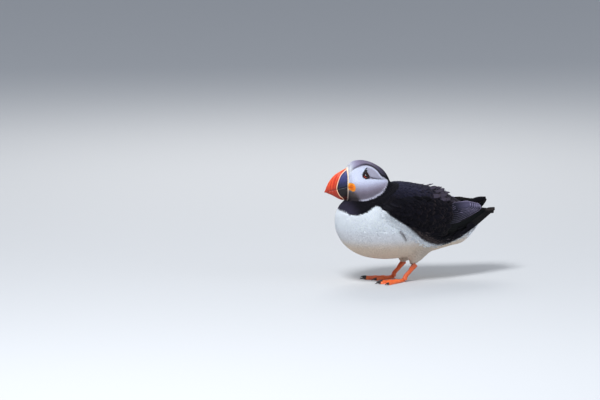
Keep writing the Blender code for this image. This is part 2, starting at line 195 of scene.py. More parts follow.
def piece_distance(flat, starts, ends):
    """Distance from flat points to the nearest of the straight pieces between starts and ends."""
    run = ends - starts
    offset = flat[:, None] - starts
    along = np.clip((offset * run).sum(-1) / (run**2).sum(-1), 0, 1)
    return np.sqrt(((offset - run * along[..., None]) ** 2).sum(-1)).min(1)


def line_distance(flat, line):
    """Distance from flat points to an open line."""
    return piece_distance(flat, line[:-1], line[1:])


def edge_distance(flat, outline):
    """Signed distance from flat points to a closed outline: positive inside, where a level ray from the point
    crosses the outline an odd number of times."""
    ends = np.roll(outline, -1, axis=0)
    y, z = flat[:, None, 0], flat[:, None, 1]
    rises = (outline[:, 1] > z) != (ends[:, 1] > z)
    with np.errstate(divide="ignore", invalid="ignore"):
        crossing = outline[:, 0] + (z - outline[:, 1]) * (ends - outline)[:, 0] / (ends - outline)[:, 1]
    inside = (rises & (y < crossing)).sum(1) % 2 == 1
    return np.where(inside, 1, -1) * piece_distance(flat, outline, ends)


def smooth_outline(outline, count):
    """A closed outline with count points on the smooth curve through its corners."""
    closed = np.vstack([outline[-2:], outline, outline[:3]])
    return rows_through(closed, np.linspace(2, len(outline) + 2, count, endpoint=False))


def distance_table(outline, measure, low, high, step):
    """Distances to an outline on a grid from low to high, with the grid's own values for on_grid to read."""
    ys, zs = (np.arange(low[k], high[k], step) for k in (0, 1))
    return ys, zs, measure(np.stack(every_pair(ys, zs), -1), outline).reshape(len(ys), len(zs))


def on_grid(table, flat):
    """Bilinear reading of a (ys, zs, values) table at flat points."""
    ys, zs, values = table
    u = np.clip((flat[..., 0] - ys[0]) / (ys[1] - ys[0]), 0, len(ys) - 1.001)
    v = np.clip((flat[..., 1] - zs[0]) / (zs[1] - zs[0]), 0, len(zs) - 1.001)
    i, j = u.astype(int), v.astype(int)
    p, q = u - i, v - j
    low = values[i, j] * (1 - q) + values[i, j + 1] * q
    high = values[i + 1, j] * (1 - q) + values[i + 1, j + 1] * q
    return low * (1 - p) + high * p


FACE_TABLE = distance_table(smooth_outline(FACE_EDGE, 88), edge_distance, (-76, 92), (8, 154), 0.4)
EYE_TABLE = distance_table(smooth_outline(EYE_SKIN_EDGE, 40), edge_distance, (-62, 110), (-16, 152), 0.3)
WHITE_TABLE = distance_table(WHITE_EDGE, edge_distance, (-82, 20), (142, 156), 1.0)
FURROW_TABLE = distance_table(
    rows_through(FURROW, np.linspace(0, len(FURROW) - 1, 24)), line_distance, (-48, 120), (-4, 144), 0.3
)


# ---------------------------------------------------------------- the plumage's surface

def straight(share, angle):
    """Point of the straight-ahead body: a superellipse section between its dorsal and ventral points."""
    dy, dz, vy, vz, half, widest, square = np.moveaxis(rows_through(STATIONS, share), -1, 0)
    across, lift = (np.sign(f) * np.abs(f) ** (2 / square) for f in (np.cos(angle), np.sin(angle)))
    up = widest + np.where(lift > 0, (1 - widest) * lift, widest * lift)
    return np.stack([half * across, vy + (dy - vy) * up, vz + (dz - vz) * up], -1)


def face_relief(flat):
    """How far the side of the face stands out: a sunk furrow and eye, a full cheek, a brow over the eye, and
    a step along the white's edge."""
    rim = on_grid(FACE_TABLE, flat)
    relief = 1.5 * spot(flat, (-30, 119), (15, 9)) + 0.7 * spot(flat, (-28, 137.5), (8, 5))
    relief = relief - 1.1 * bell(on_grid(FURROW_TABLE, flat), 1.4) - 0.8 * spot(flat, EYE_SPOT, 4.2)
    return relief + 0.5 * bell(rim - 1.0, 1.2) - 0.5 * bell(rim + 1.4, 1.4)


def plumage(share, angle):
    """Outer surface of the feathers: the turned body, with a feathered bulge drawn out to each ankle."""
    points = straight(share, angle)
    head = share < HEAD_END
    face = points[head]
    swing = np.clip(np.abs(face[:, 0]) / 9, 0, 1) * ramp(HEAD_END - share[head], 0, 1.2)
    points[head, 0] += np.sign(face[:, 0]) * face_relief(face[:, 1:]) * swing
    points = turned(points, fall(share, *TURN_FADES))
    for _, sign in SIDES:
        hip, ankle = HIP * (sign, 1, 1), ANKLE * (sign, 1, 1) + (0, 0.6, -1.2)
        away = np.linalg.norm((points - hip) * (1, 0.85, 0.8), axis=-1)
        points = points + (fall(away, 2.5, 17) ** 1.25)[..., None] * (ankle - hip)
    return points


def surface_frame(share, angle):
    """Point and outward normal of the plumage at each place, and the millimetres that one unit of share and
    one of angle cover there."""
    step = 0.02
    ahead, behind = np.minimum(share + step, LAST), np.maximum(share - step, 0)
    along = (plumage(ahead, angle) - plumage(behind, angle)) / (ahead - behind)[:, None]
    around = (plumage(share, angle + step) - plumage(share, angle - step)) / (2 * step)
    stretch = np.linalg.norm(along, axis=-1), np.linalg.norm(around, axis=-1)
    return plumage(share, angle), unit(np.cross(along, around)), stretch


def walk(share, angle, length, steps, yaw):
    """Points and normals of paths that keep to the plumage's surface: they start at each place and head
    tailward, turned by yaw, and each covers its length in equal steps. Their ends' share and angle come last."""
    points, normals = [], []
    stride = length / (steps - 1)
    for _ in range(steps):
        point, normal, stretch = surface_frame(share, angle)
        points.append(point)
        normals.append(normal)
        share = np.clip(share + stride * np.cos(yaw) / stretch[0], 0, LAST)
        angle = angle + stride * np.sin(yaw) / stretch[1]
    return np.stack(points, 1), np.stack(normals, 1), share, angle


def coat_depth(share):
    """Depth of the plumage over the skin: thin on the face, deeper on the body."""
    return 0.6 + 1.2 * ramp(share, NAPE, SHOULDER + 1)


def width_table(shares, angles, weights, low, high, step, softness):
    """How far the body's left side stands from the middle plane, as a table over (y, z): each place takes the
    mean of the nearest points of the body, turned by weights of the head's turn."""
    skin = turned(straight(shares, angles), weights)
    ys, zs = (np.arange(low[k], high[k], step) for k in (0, 1))
    table = np.zeros((len(ys), len(zs)))
    for k, y in enumerate(ys):
        near = skin[np.abs(skin[:, 1] - np.clip(y, skin[:, 1].min(), skin[:, 1].max())) < 24]
        apart = (near[:, 1] - y) ** 2 + (near[:, 2] - zs[:, None]) ** 2
        weight = np.exp(-(apart - apart.min(1, keepdims=True)) / softness)
        table[k] = (weight * near[:, 0]).sum(1) / weight.sum(1)
    return ys, zs, table


def raised(reach, flat, height, sign=1, step=1.0):
    """Points at a height over the side surface x = reach(y, z), and its outward normals, from differences over
    one step each way. sign puts them on the left or right."""
    x = reach(flat)
    slopes = [(reach(flat + move) - reach(flat - move)) / (2 * step) for move in ((step, 0), (0, step))]
    normal = unit(np.stack([np.ones_like(x), -slopes[0], -slopes[1]], -1))
    points = np.concatenate([x[..., None], flat], -1) + normal * np.asarray(height)[..., None]
    return points * (sign, 1, 1), normal * (sign, 1, 1)


# ---------------------------------------------------------------- markings

WHITE = np.array([0.85, 0.90, 0.96])
SHADED_LOW_WHITE, BELLY_STAIN_AND_BOUNCE = (0.80, 0.81, 0.84), (0.78, 0.65, 0.52)
THIGH_GREY, DUSKY, STREAK_GREY = (0.42, 0.38, 0.36), (0.11, 0.085, 0.078), (0.12, 0.11, 0.11)
BLACK = np.array([0.0055, 0.0050, 0.0075])
BODY_BLACK, COLLAR_VIOLET = (0.012, 0.010, 0.012), (0.036, 0.031, 0.055)
BACK_BLACK = np.array([0.0034, 0.0031, 0.0052])
TOP_SHEEN_VIOLET, TUFT_VIOLET = (0.016, 0.016, 0.032), (0.060, 0.050, 0.072)
FOREHEAD_HIGHLIGHT, LILAC_GREY = (0.85, 0.87, 0.93), (0.36, 0.34, 0.43)
SMUDGE_BROWN, SMUDGE_BLACK = (0.085, 0.072, 0.070), (0.022, 0.018, 0.020)
FURROW_SHADE_GREY, RIM_HIGHLIGHT_GREY, EYE_SKIN = (0.10, 0.09, 0.11), (0.60, 0.60, 0.72), (0.006, 0.005, 0.008)
# Tones of the crown by y, from the forehead back, and of the face by height, from low on the cheek up.
# The crown's tones are its dark grey under a painted sky sheen, palest at the front.
SKY_SHEEN_CROWN_TONES = {
    -58: (0.62, 0.62, 0.72), -52: (0.42, 0.41, 0.54), -48: (0.32, 0.285, 0.41), -43: (0.25, 0.215, 0.31),
    -32: (0.23, 0.20, 0.27), -26: (0.17, 0.145, 0.20), -20: (0.09, 0.078, 0.118), -12: (0.030, 0.026, 0.042),
}
# The cheek's tones darken low down, partly its own grey and partly painted shade where it turns down from the light.
CHEEK_GREY_AND_SHADE_TONES = {
    105: (0.135, 0.118, 0.150), 110: (0.165, 0.145, 0.185), 113.5: (0.23, 0.20, 0.26), 117.5: (0.33, 0.31, 0.40),
    121: (0.45, 0.45, 0.58), 124.5: (0.60, 0.62, 0.78), 128.5: (0.71, 0.75, 0.91),
}


def graded(value, tones):
    """Colour read along a scale with one tone at each place, changing evenly between them."""
    return np.stack([np.interp(value, list(tones), channel) for channel in zip(*tones.values())], -1)


def painted(colour, *layers):
    """A colour under layers of others, each a tone and how much of it covers what is below, from 0 to 1."""
    for tone, cover in layers:
        colour = colour + (np.asarray(tone) - colour) * np.asarray(cover)[..., None]
    return colour


def markings(points, share):
    """Colour of the plumage at straight-ahead points, and how glossy it is there (0 matt, 1 glossy). Black
    lies lowest, then the crown, the white under parts and the face, each inside its own uneven edge."""
    flat = points[:, 1:]
    y, z = flat.T
    wobble = waves(points, 9.0, 3) * 0.5 + waves(points, 3.5, 4) * 0.35

    face = on_grid(FACE_TABLE, flat)
    in_face = ramp(face + wobble * 0.3, -0.35, 0.35) * ramp(NAPE + 2.4 - share, 0, 0.4)
    edge_band = bell(face + 1.0) * (1 - 0.4 * fall(y, -46, -36))
    in_crown = (1 - in_face) * ramp(z, 127, 136) * ramp(NAPE + 0.8 - share, 0, 1.4) * (1 - 0.88 * edge_band)

    white = on_grid(WHITE_TABLE, flat) + wobble * (1.0 + 1.2 * ramp(y, -20, 20))
    in_white = ramp(white, -0.9, 0.9) * fall(y, 110, 116)
    dusky = ramp(y, 2, 26) * ramp(z, 44, 66) * fall(white, 1, 9) * (0.55 + 0.6 * wobble)
    streak = bell(line_distance(flat, FLANK_STREAK), 1.8) * (points[:, 0] > 20)
    # The white turns greyer low down, which is painted shade, and cream on the belly, partly a stain and partly
    # painted warm light thrown up from the ground.
    under_parts = painted(
        WHITE, (SHADED_LOW_WHITE, fall(z, 57, 72)), (BELLY_STAIN_AND_BOUNCE, fall(z, 42, 58)),
        (THIGH_GREY, 0.4 * spot(flat, (34, 42), (17, 12))), (DUSKY, np.clip(dusky, 0, 1)),
        (STREAK_GREY, 0.85 * streak),
    )

    height = 128.5 - (128.5 - z) * (1.08 + 0.03 * np.maximum(y + 38, 0)) + wobble * 0.6
    behind_eye = ramp(y, -37.5, -34.5) * ramp(z - 129.2 - 0.03 * (y + 20), 0, 1.5) * ramp(face, 0.9, 2.2)
    smudge = ramp((flat - (-52.1, 116)) @ (-0.909, -0.416) + wobble * 0.8, -2.2, 2.8) * fall(z, 112.5, 117.5)
    cheeks = painted(
        graded(height, CHEEK_GREY_AND_SHADE_TONES), (LILAC_GREY, 0.85 * behind_eye),
        (painted(SMUDGE_BROWN, (SMUDGE_BLACK, fall(z, 105, 112))), 0.92 * smudge),
        # Painted shade in the furrow behind the eye.
        (FURROW_SHADE_GREY, 0.85 * bell(on_grid(FURROW_TABLE, flat), 0.8)),
        # A painted highlight along the face's lower rim, towards the back.
        (RIM_HIGHLIGHT_GREY, 0.85 * bell(face - 0.7, 0.95) * ramp(y, -50, -44)),
        (EYE_SKIN, ramp(on_grid(EYE_TABLE, flat), -0.35, 0.35)),
    )

    # A painted highlight on the front of the forehead, at the bill's base.
    forehead = spot(flat, (-57.5, 142.0), (3.0, 6.0)) * (share < 1.4)
    colour = painted(
        BLACK, (BODY_BLACK, ramp(share, SHOULDER, KEEL)), (COLLAR_VIOLET, fall(y, -66, -50) * fall(z, 98, 108)),
        (graded(y, SKY_SHEEN_CROWN_TONES), in_crown), (under_parts, in_white), (cheeks, in_face),
        (FOREHEAD_HIGHLIGHT, np.clip(forehead * 1.3, 0, 1)),
    )
    return colour, fall(colour.mean(-1), 0.02, 0.2)


# ---------------------------------------------------------------- meshes

def put_mesh(name, points, faces, material):
    """A smooth mesh object at the origin from points in the bird's frame and lists of quads and triangles."""
    points = (np.asarray(points).reshape(-1, 3) + FRAME_SHIFT) * MM
    faces = [np.asarray(group, np.int32) for group in faces if len(group)]
    corners = np.concatenate([group.ravel() for group in faces])
    sizes = np.concatenate([np.full(len(group), group.shape[1], np.int32) for group in faces])
    mesh = bpy.data.meshes.new(name)
    mesh.vertices.add(len(points))
    mesh.vertices.foreach_set("co", points.astype(np.float32).ravel())
    mesh.loops.add(len(corners))
    mesh.loops.foreach_set("vertex_index", corners)
    mesh.polygons.add(len(sizes))
    mesh.polygons.foreach_set("loop_start", np.concatenate([[0], np.cumsum(sizes)[:-1]]).astype(np.int32))
    mesh.polygons.foreach_set("use_smooth", np.ones(len(sizes), bool))
    mesh.update(calc_edges=True)
    mesh.validate()
    mesh.materials.append(material)
    made = bpy.data.objects.new(name, mesh)
    bpy.context.scene.collection.objects.link(made)
    return made


def grid_faces(rows, columns, looped=False):
    """Quads of a grid of points that wraps round its columns, and round its rows too if looped."""
    r, c = every_pair(np.arange(rows if looped else rows - 1), np.arange(columns))
    m, n = (r + 1) % rows, (c + 1) % columns
    return np.stack([r * columns + c, r * columns + n, m * columns + n, m * columns + c], -1)


def faces_out(points, quads, out):
    """Whether quads face along the given outward directions, taken all together."""
    first, second, last = (points[quads[:, k]] for k in (0, 1, 3))
    return (np.cross(second - first, last - first) * out).sum() >= 0


def rings_mesh(name, rings, material, looped=False):
    """A closed surface through equal rings, facing away from their middles. Looped, the last ring joins the
    first, and otherwise each end is drawn in to its middle point."""
    rows, columns = rings.shape[:2]
    points, quads, caps = rings.reshape(-1, 3), grid_faces(rows, columns, looped), np.empty((0, 3), int)
    if not looped:
        points = np.vstack([points, rings[0].mean(0), rings[-1].mean(0)])
        here, after, pole = np.arange(columns), (np.arange(columns) + 1) % columns, np.full(columns, rows * columns)
        last = (rows - 1) * columns
        caps = np.vstack([np.stack([pole, after, here], -1), np.stack([pole + 1, last + here, last + after], -1)])
    spine = rings.mean(1).repeat(columns, 0)[: len(quads)]
    if not faces_out(points, quads, points[quads].mean(1) - spine):
        quads, caps = quads[:, ::-1], caps[:, ::-1]
    return put_mesh(name, points, [quads, caps], material)


def point_values(made, **layers):
    """Stores numbers, or colours where each has three parts, at the vertices for the materials to read. Two end
    points that have no colour of their own take those of the first and last."""
    for name, values in layers.items():
        if values.ndim == 1:
            made.data.attributes.new(name, "FLOAT", "POINT").data.foreach_set("value", values.astype(np.float32))
            continue
        if len(values) == len(made.data.vertices) - 2:
            values = np.vstack([values, values[:1], values[-1:]])
        values = np.pad(values, ((0, 0), (0, 1)), constant_values=1).astype(np.float32)
        made.data.attributes.new(name, "FLOAT_COLOR", "POINT").data.foreach_set("color", values.ravel())


def bake_map(made, coordinates):
    """The UV map for the coat's colours, whose corners take their vertex's own coordinates."""
    index = np.empty(len(made.data.loops), np.int32)
    made.data.loops.foreach_get("vertex_index", index)
    layer = made.data.uv_layers.new(name="OFBake")
    layer.data.foreach_set("uv", np.asarray(coordinates, np.float32)[index].ravel())


def unwrap(share, angle):
    """Place of a body point on the flat unwrap of the skin: round the section, and from bill to tail."""
    return np.stack([0.02 + 0.96 * (np.mod(angle, 2 * math.pi) / (2 * math.pi)), 0.02 + 0.96 * share / LAST], -1)


def finish_piece(made, slot, *nodes):
    """Puts a piece on the root body, in place of the given solids. Its slot is not used."""
    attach(made, "root")
    if nodes:
        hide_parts(*nodes)
    return made


# ---------------------------------------------------------------- materials

class Wire:
    """A number in a node tree, whose sums, differences, products and quotients are Math nodes."""

    def __init__(self, tree, socket):
        self.tree, self.socket = tree, socket

    def maths(self, operation, *values):
        made = self.tree.nodes.new("ShaderNodeMath")
        made.operation = operation
        for socket, value in zip(made.inputs, values):
            feed(self.tree, socket, value)
        return Wire(self.tree, made.outputs[0])

    def __add__(self, other):
        return self.maths("ADD", self, other)

    def __mul__(self, other):
        return self.maths("MULTIPLY", self, other)

    def __sub__(self, other):
        return self.maths("SUBTRACT", self, other)

    def __rsub__(self, other):
        return self.maths("SUBTRACT", other, self)

    def __truediv__(self, other):
        return self.maths("DIVIDE", self, other)

    def at_least(self, low):
        return self.maths("MAXIMUM", self, low)

    def sine(self):
        return self.maths("SINE", self * (2 * math.pi))


def feed(tree, socket, value):
    """Links a wire or an output to a socket, or sets the socket's own value."""
    if isinstance(value, (Wire, bpy.types.NodeSocket)):
        tree.links.new(getattr(value, "socket", value), socket)
    else:
        socket.default_value = value


def node(tree, kind, inputs, **settings):
    """A node with its settings made and its inputs fed."""
    made = tree.nodes.new(kind)
    for key, value in settings.items():
        setattr(made, key, value)
    for key, value in inputs.items():
        feed(tree, made.inputs[key], value)
    return made


def stored(tree, name, output="Fac"):
    """A value that the mesh carries at its vertices."""
    return Wire(tree, node(tree, "ShaderNodeAttribute", {}, attribute_name=name).outputs[output])


def noise(tree, scale, detail, roughness=0.5):
    """Smooth noise over the piece's own Object coordinates."""
    place = node(tree, "ShaderNodeTexCoord", {}).outputs["Object"]
    inputs = {"Vector": place, "Scale": scale, "Detail": detail, "Roughness": roughness}
    return Wire(tree, node(tree, "ShaderNodeTexNoise", inputs).outputs[0])


def effect_group(name, formula, **inputs):
    """A shader node group that makes a colour lighter and darker and gives a height. Its formula takes the tree
    and the wires of the group's inputs, and returns the colour, what it is multiplied by, and the height."""
    group = bpy.data.node_groups.new(name, "ShaderNodeTree")
    for label, value in {"Color": (1, 1, 1, 1), **inputs}.items():
        kind = "NodeSocketFloat" if isinstance(value, float) else "NodeSocketColor"
        group.interface.new_socket(label, in_out="INPUT", socket_type=kind).default_value = value
    for label, kind in (("Color", "NodeSocketColor"), ("Height", "NodeSocketFloat")):
        group.interface.new_socket(label, in_out="OUTPUT", socket_type=kind)
    given = node(group, "NodeGroupInput", {}).outputs
    colour, shade, height = formula(group, *(Wire(group, given[label]) for label in ("Color", *inputs)))
    scaled = node(group, "ShaderNodeVectorMath", {0: colour, "Scale": shade}, operation="SCALE")
    node(group, "NodeGroupOutput", {"Color": scaled.outputs[0], "Height": height})
    return group


def mottle(tree, colour, scale, amount):
    """Uneven colour from two sizes of noise, which is also the height."""
    height = noise(tree, scale, 3.0, 0.6) * 0.6 + noise(tree, scale * 5.0, 2.0) * 0.4
    return colour, (height - 0.5) * (amount * 4.0) + 1.0, height


def barbs(tree, colour, edge_colour, count, edge, tip):
    """A feather vane: fine slanting barbs, a raised pale shaft, and worn edges of another colour."""
    across, along, wear = (stored(tree, f"vane_{name}") for name in ("across", "along", "wear"))
    out = across.maths("ABSOLUTE", across)
    drift = noise(tree, 260.0, 2.0)
    lines = ((along - out * 0.16) * count + drift * 1.3).sine()
    shaft = (1.0 - out.maths("SMOOTH_MIN", out * 16.0, 1.0, 0.3)).at_least(0.0)
    end, side = ((1.0 - (1.0 - reach) / width).at_least(0.0) for reach, width in ((along, tip), (out, edge)))
    rim = (end * end).at_least(side * side * along) * wear * (drift + 0.5)
    worn = {0: rim.maths("MINIMUM", rim, 1.0), 6: colour, 7: edge_colour}
    mixed = node(tree, "ShaderNodeMix", worn, data_type="RGBA").outputs[2]
    return mixed, lines * 0.13 + (shaft * 0.25 + 0.97), lines * 0.3 + shaft * 1.4


def fibres(tree, colour, count):
    """A small tuft: fine fibres that run from its root to its tip, as colour and as height."""
    lines = (stored(tree, "vane_across") * count + noise(tree, 900.0, 2.0) * 1.5).sine()
    return colour, lines * 0.09 + (stored(tree, "vane_along") * 0.08 + 0.93), lines


MOTTLE = effect_group("mottle", mottle, Scale=400.0, Amount=0.2)
BARBS = effect_group("barbs", barbs, **{"Edge Color": (0.1, 0.07, 0.06, 1)}, Barbs=60.0, Edge=0.34, Tip=0.2)
FIBRES = effect_group("fibres", fibres, Fibres=3.0)


def finish(name, roughness, mottling, bump, depth, colour=None, gloss=None, over=None, **shader_values):
    """A material whose colour is the mesh's own tint (or one colour), mottled by (scale, amount), with the
    effect that lies over it as (group, inputs). gloss is how rough it is where the mesh's gloss is 1."""
    material = bpy.data.materials.new(name)
    material.use_nodes = True
    tree = material.node_tree
    shader = tree.nodes["Principled BSDF"].inputs
    for key, value in shader_values.items():
        shader[key.replace("_", " ")].default_value = value
    effects = [(MOTTLE, {"Scale": mottling[0], "Amount": mottling[1]})] + ([over] if over else [])
    painting = (*colour, 1) if colour else stored(tree, "tint", "Color")
    for group, inputs in effects:
        made = node(tree, "ShaderNodeGroup", {}, node_tree=group)
        for key, value in {"Color": painting, **inputs}.items():
            feed(tree, made.inputs[key], value)
        painting = made.outputs["Color"]
    raised_by = {"Strength": bump, "Distance": depth, "Height": made.outputs["Height"]}
    feed(tree, shader["Base Color"], painting)
    feed(tree, shader["Normal"], node(tree, "ShaderNodeBump", raised_by).outputs[0])
    feed(tree, shader["Roughness"], stored(tree, "gloss") * (gloss - roughness) + roughness if gloss else roughness)
    return material


def vane_finish(name, mottling, bump, count, edge, rims, specular):
    """A feather's material: how many barbs, the worn edge's colour, and its width at the sides and the tip."""
    over = BARBS, {"Barbs": count, "Edge Color": (*edge, 1), "Edge": rims[0], "Tip": rims[1]}
    return finish(name, 0.5, mottling, bump, 0.0002, over=over, Specular_IOR_Level=specular)


TUFT_FIBRES = FIBRES, {"Fibres": 2.5}
COAT = finish("plumage", 0.9, (300, 0.06), 0.35, 0.0001, gloss=0.6, over=TUFT_FIBRES, Specular_IOR_Level=0.08)
VANES = vane_finish("vanes", (160, 0.16), 0.3, 26, (0.050, 0.036, 0.036), (0.34, 0.2), 0.05)
QUILLS = vane_finish("flight_vanes", (120, 0.12), 0.3, 110, (0.075, 0.058, 0.055), (0.2, 0.07), 0.05)
PALE_QUILLS = vane_finish("secondary_vanes", (120, 0.12), 0.35, 110, (0.42, 0.37, 0.55), (0.26, 0.06), 0.1)
HORN = finish(
    "bill_horn", 0.38, (240, 0.10), 0.25, 0.0003, Coat_Weight=0.06, Coat_Roughness=0.3, Specular_IOR_Level=0.25
)
BARE_SKIN = finish("bare_skin", 0.5, (500, 0.14), 0.4, 0.0004, Specular_IOR_Level=0.25)
FOOT_SKIN = finish("foot_skin", 0.42, (420, 0.18), 0.5, 0.0005, Coat_Weight=0.15, Coat_Roughness=0.3)
CLAW_HORN = finish("claw_horn", 0.3, (600, 0.2), 0.15, 0.0004, colour=(0.022, 0.018, 0.018))
EYE_WET = finish(
    "eye_wet", 0.08, (900, 0.1), 0.0, 0.0004, Coat_Weight=0.3, Coat_Roughness=0.02, Specular_IOR_Level=0.3
)


# ---------------------------------------------------------------- skin and coat

def build_skin():
    """The flesh as one closed surface: the plumage's outer surface moved inwards by the coat's depth, less at
    the bill and tail, with its first ring drawn in behind the bill."""
    rows, columns = 250, 256
    share, angle = every_pair(np.linspace(0, LAST, rows), ring_angles(columns))
    point, normal, _ = surface_frame(share, angle)
    inwards = coat_depth(share) * ramp(share, 0, 0.25) * (1 - 0.4 * ramp(share, LAST - 1.2, LAST))
    rings = (point - normal * inwards[:, None]).reshape(rows, columns, 3)
    rings[0] = rings[0].mean(0) + (rings[0] - rings[0].mean(0)) * 0.93 + HEAD_FORWARD * 1.4
    made = rings_mesh("skin", rings, COAT)
    colour, gloss = markings(straight(share, angle), share)
    colour = np.vstack([colour, colour[:columns].mean(0), colour[-columns:].mean(0)])
    point_values(made, tint=colour * 0.92, gloss=np.append(gloss, [0, 1]))
    bake_map(made, np.vstack([unwrap(share, angle), [[0.5, 0.01], [0.5, 0.99]]]))
    finish_piece(made, "white_feathers", "head", "neck", "trunk", "thigh_left", "thigh_right")


def scatter(count, region, spacing, seed):
    """Even places on the body: as dense as region over spacing, by a low-discrepancy sequence run backwards
    through the area's own totals, first from bill to tail and then round each section."""
    rows, columns = 360, 240
    edges = np.linspace(0, LAST, rows + 1)
    s, a = every_pair((edges[1:] + edges[:-1]) / 2, 2 * math.pi * (np.arange(columns) + 0.5) / columns)
    step = 0.01
    ahead = plumage(np.minimum(s + step, LAST), a) - plumage(np.maximum(s - step, 0), a)
    round_it = plumage(s, a + step) - plumage(s, a - step)
    area = np.linalg.norm(np.cross(ahead, round_it), axis=-1)
    weight = (area * region(s, a) / spacing(s, a) ** 2).reshape(rows, columns)
    totals = np.cumsum(weight.sum(1))
    start = np.random.default_rng(seed).uniform(size=2)
    first, second = (np.mod(start[k] + (np.arange(count) + 0.5) * (0.7548776662, 0.5698402910)[k], 1) for k in (0, 1))
    row = np.minimum(np.searchsorted(totals / totals[-1], first), rows - 1)
    before = np.append(0, totals[:-1])[row] / totals[-1]
    part = (first - before) / (weight.sum(1)[row] / totals[-1] + 1e-12)
    across = np.cumsum(weight, 1)
    across /= across[:, -1:] + 1e-12
    stacked = (across + np.arange(rows)[:, None]).ravel()
    column = np.clip(np.searchsorted(stacked, second + row) - row * columns, 0, columns - 1)
    jitter = np.random.default_rng(seed + 1).uniform(size=count)
    return (row + np.clip(part, 0, 1)) / rows * LAST, 2 * math.pi * (column + jitter) / columns


PATCH = 0.003  # side of each tuft's own patch on the unwrap
TUFT_ALONG = np.array([0.16, 0.5, 0.84])
TUFT_WIDTH = np.array([0.75, 1.0, 0.62])
TUFT_SHADE = np.array([0.9] + [0.95] * 3 + [1.0] * 3 + [1.02] * 3 + [1.03])


def spindles(name, path, normals, width, sink, lift, colour, gloss, root_map, slot):
    """Small tufts, each a closed spindle along its own path of three points: a root, three rings of left edge,
    ridge and right edge, and a tip. Its height goes evenly from sink under the path to lift over it."""
    count = len(path)

    def at(part, out, ridge):
        weights = np.array([(1 - part) * (1 - 2 * part), 4 * part * (1 - part), part * (2 * part - 1)])
        slopes = np.array([4 * part - 3, 4 - 8 * part, 4 * part - 1])
        normal = unit((normals * weights[:, None]).sum(1))
        heading = unit((path * slopes[:, None]).sum(1))
        height = -sink * (1 - part) ** 1.3 + lift * part**1.5 + ridge * width * 0.06
        sideways = np.cross(normal, heading) * (out * width / 2)[:, None]
        return (path * weights[:, None]).sum(1) + sideways + normal * height[:, None]

    layers = [at(0.0, 0.0, 0.0)]
    for part, wide in zip(TUFT_ALONG, TUFT_WIDTH):
        layers += [at(part, -wide, 0.0), at(part, 0.0, wide), at(part, wide, 0.0)]
    layers.append(at(1.0, 0.0, 0.0))
    base = (np.arange(count) * 11)[:, None, None]
    ends = np.array([(0, 2, 1), (0, 3, 2), (0, 1, 3), (10, 7, 8), (10, 8, 9), (10, 9, 7)])
    sides = np.array([(k, k + 1, k + 4, k + 3) for k in (1, 2, 4, 5)] + [(3, 1, 4, 6), (6, 4, 7, 9)])
    made = put_mesh(name, np.stack(layers, 1), [(base + sides).reshape(-1, 4), (base + ends).reshape(-1, 3)], COAT)
    part = np.array([0, *TUFT_ALONG.repeat(3), 1])
    out = np.array([0, *np.tile([-0.5, 0, 0.5], 3), 0])
    point_values(
        made, tint=(colour[:, None] * TUFT_SHADE[:, None]).reshape(-1, 3).clip(0, 0.97), gloss=gloss.repeat(11),
        vane_across=np.tile(out * 2, count), vane_along=np.tile(part, count),
    )
    bake_map(made, (root_map[:, None] + np.stack([out, part - 0.5], -1) * PATCH).reshape(-1, 2))
    return finish_piece(made, slot)


def tufts(name, share, angle, length, width, lift, slot, seed):
    """Tufts laid along the body's surface from places on it, marked as the plumage is there. Those right behind
    the bill reach forward to it."""
    random = np.random.default_rng(seed)
    count = len(share)
    length = length * random.uniform(0.75, 1.2, count)
    width = width * random.uniform(0.8, 1.2, count)
    lift = lift * random.uniform(0.3, 1.7, count)
    path, normals, tip_share, tip_angle = walk(share, angle, length, 3, random.normal(0, 0.16, count))
    reach = 1.7 * fall(share, 0, 0.5)
    path = path + HEAD_FORWARD * reach[:, None, None] * np.array([1, 0.4, 0])[:, None]
    shown, facing = share * 0.3 + tip_share * 0.7, angle * 0.3 + tip_angle * 0.7
    colour, gloss = markings(straight(shown, facing), shown)
    colour = colour * random.normal(1, 0.03, count).clip(0.8, 1.2)[:, None]
    spindles(name, path, normals, width, coat_depth(share) * 0.6, lift, colour, gloss, unwrap(share, angle), slot)


def head_region(share, angle):
    """Where the face and crown feathers grow: not on the bare skin of the eye or the rosette."""
    points = straight(share, angle)
    flat = points[:, 1:]
    bare = (on_grid(EYE_TABLE, flat) > -0.3) & (np.abs(points[:, 0]) > 8)
    rosette = (((flat - ROSETTE_SPOT) / (3.4, 5.0)) ** 2).sum(-1) < 1
    return (share < HEAD_END) * (share > 0.0) * ~bare * ~rosette * 1.0


def back_region(share, angle):
    """The mantle, scapulars and back, which carry larger feathers."""
    black = on_grid(WHITE_TABLE, straight(share, angle)[:, 1:]) < -4
    return (share > SHOULDER - 0.6) * ramp(np.sin(angle), 0.02, 0.2) * black


def body_region(share, angle):
    """The neck and trunk, with few tufts under the folded wings and the larger feathers."""
    points = straight(share, angle)
    under_wing = (on_grid(WING_TABLE, points[:, 1:]) > 7) & (np.abs(points[:, 0]) > 12)
    return (share >= NAPE + 2.0) * (1 - 0.93 * under_wing) * (1 - 0.9 * (back_region(share, angle) > 0.5))


def head_size(share, angle):
    """Size of the head's tufts: smallest by the bill, larger to the nape."""
    return 0.72 + 0.45 * ramp(straight(share, angle)[:, 1], -48, -8) + 0.9 * ramp(share, NAPE, HEAD_END)


def body_size(share, angle):
    """Size of the body's tufts, larger to the tail."""
    return 1.9 + 0.6 * ramp(share, SHOULDER, KEEL) + 0.7 * ramp(share, VENT - 2, VENT + 1)


HEAD_TUFTS, BODY_TUFTS = 20000, 34000
BODY_PIECES = {
    "neck": (0, 9.2), "breast": (9.2, 11.2), "belly": (11.2, 13.6), "flank": (13.6, 16.4), "rump": (16.4, 99)
}


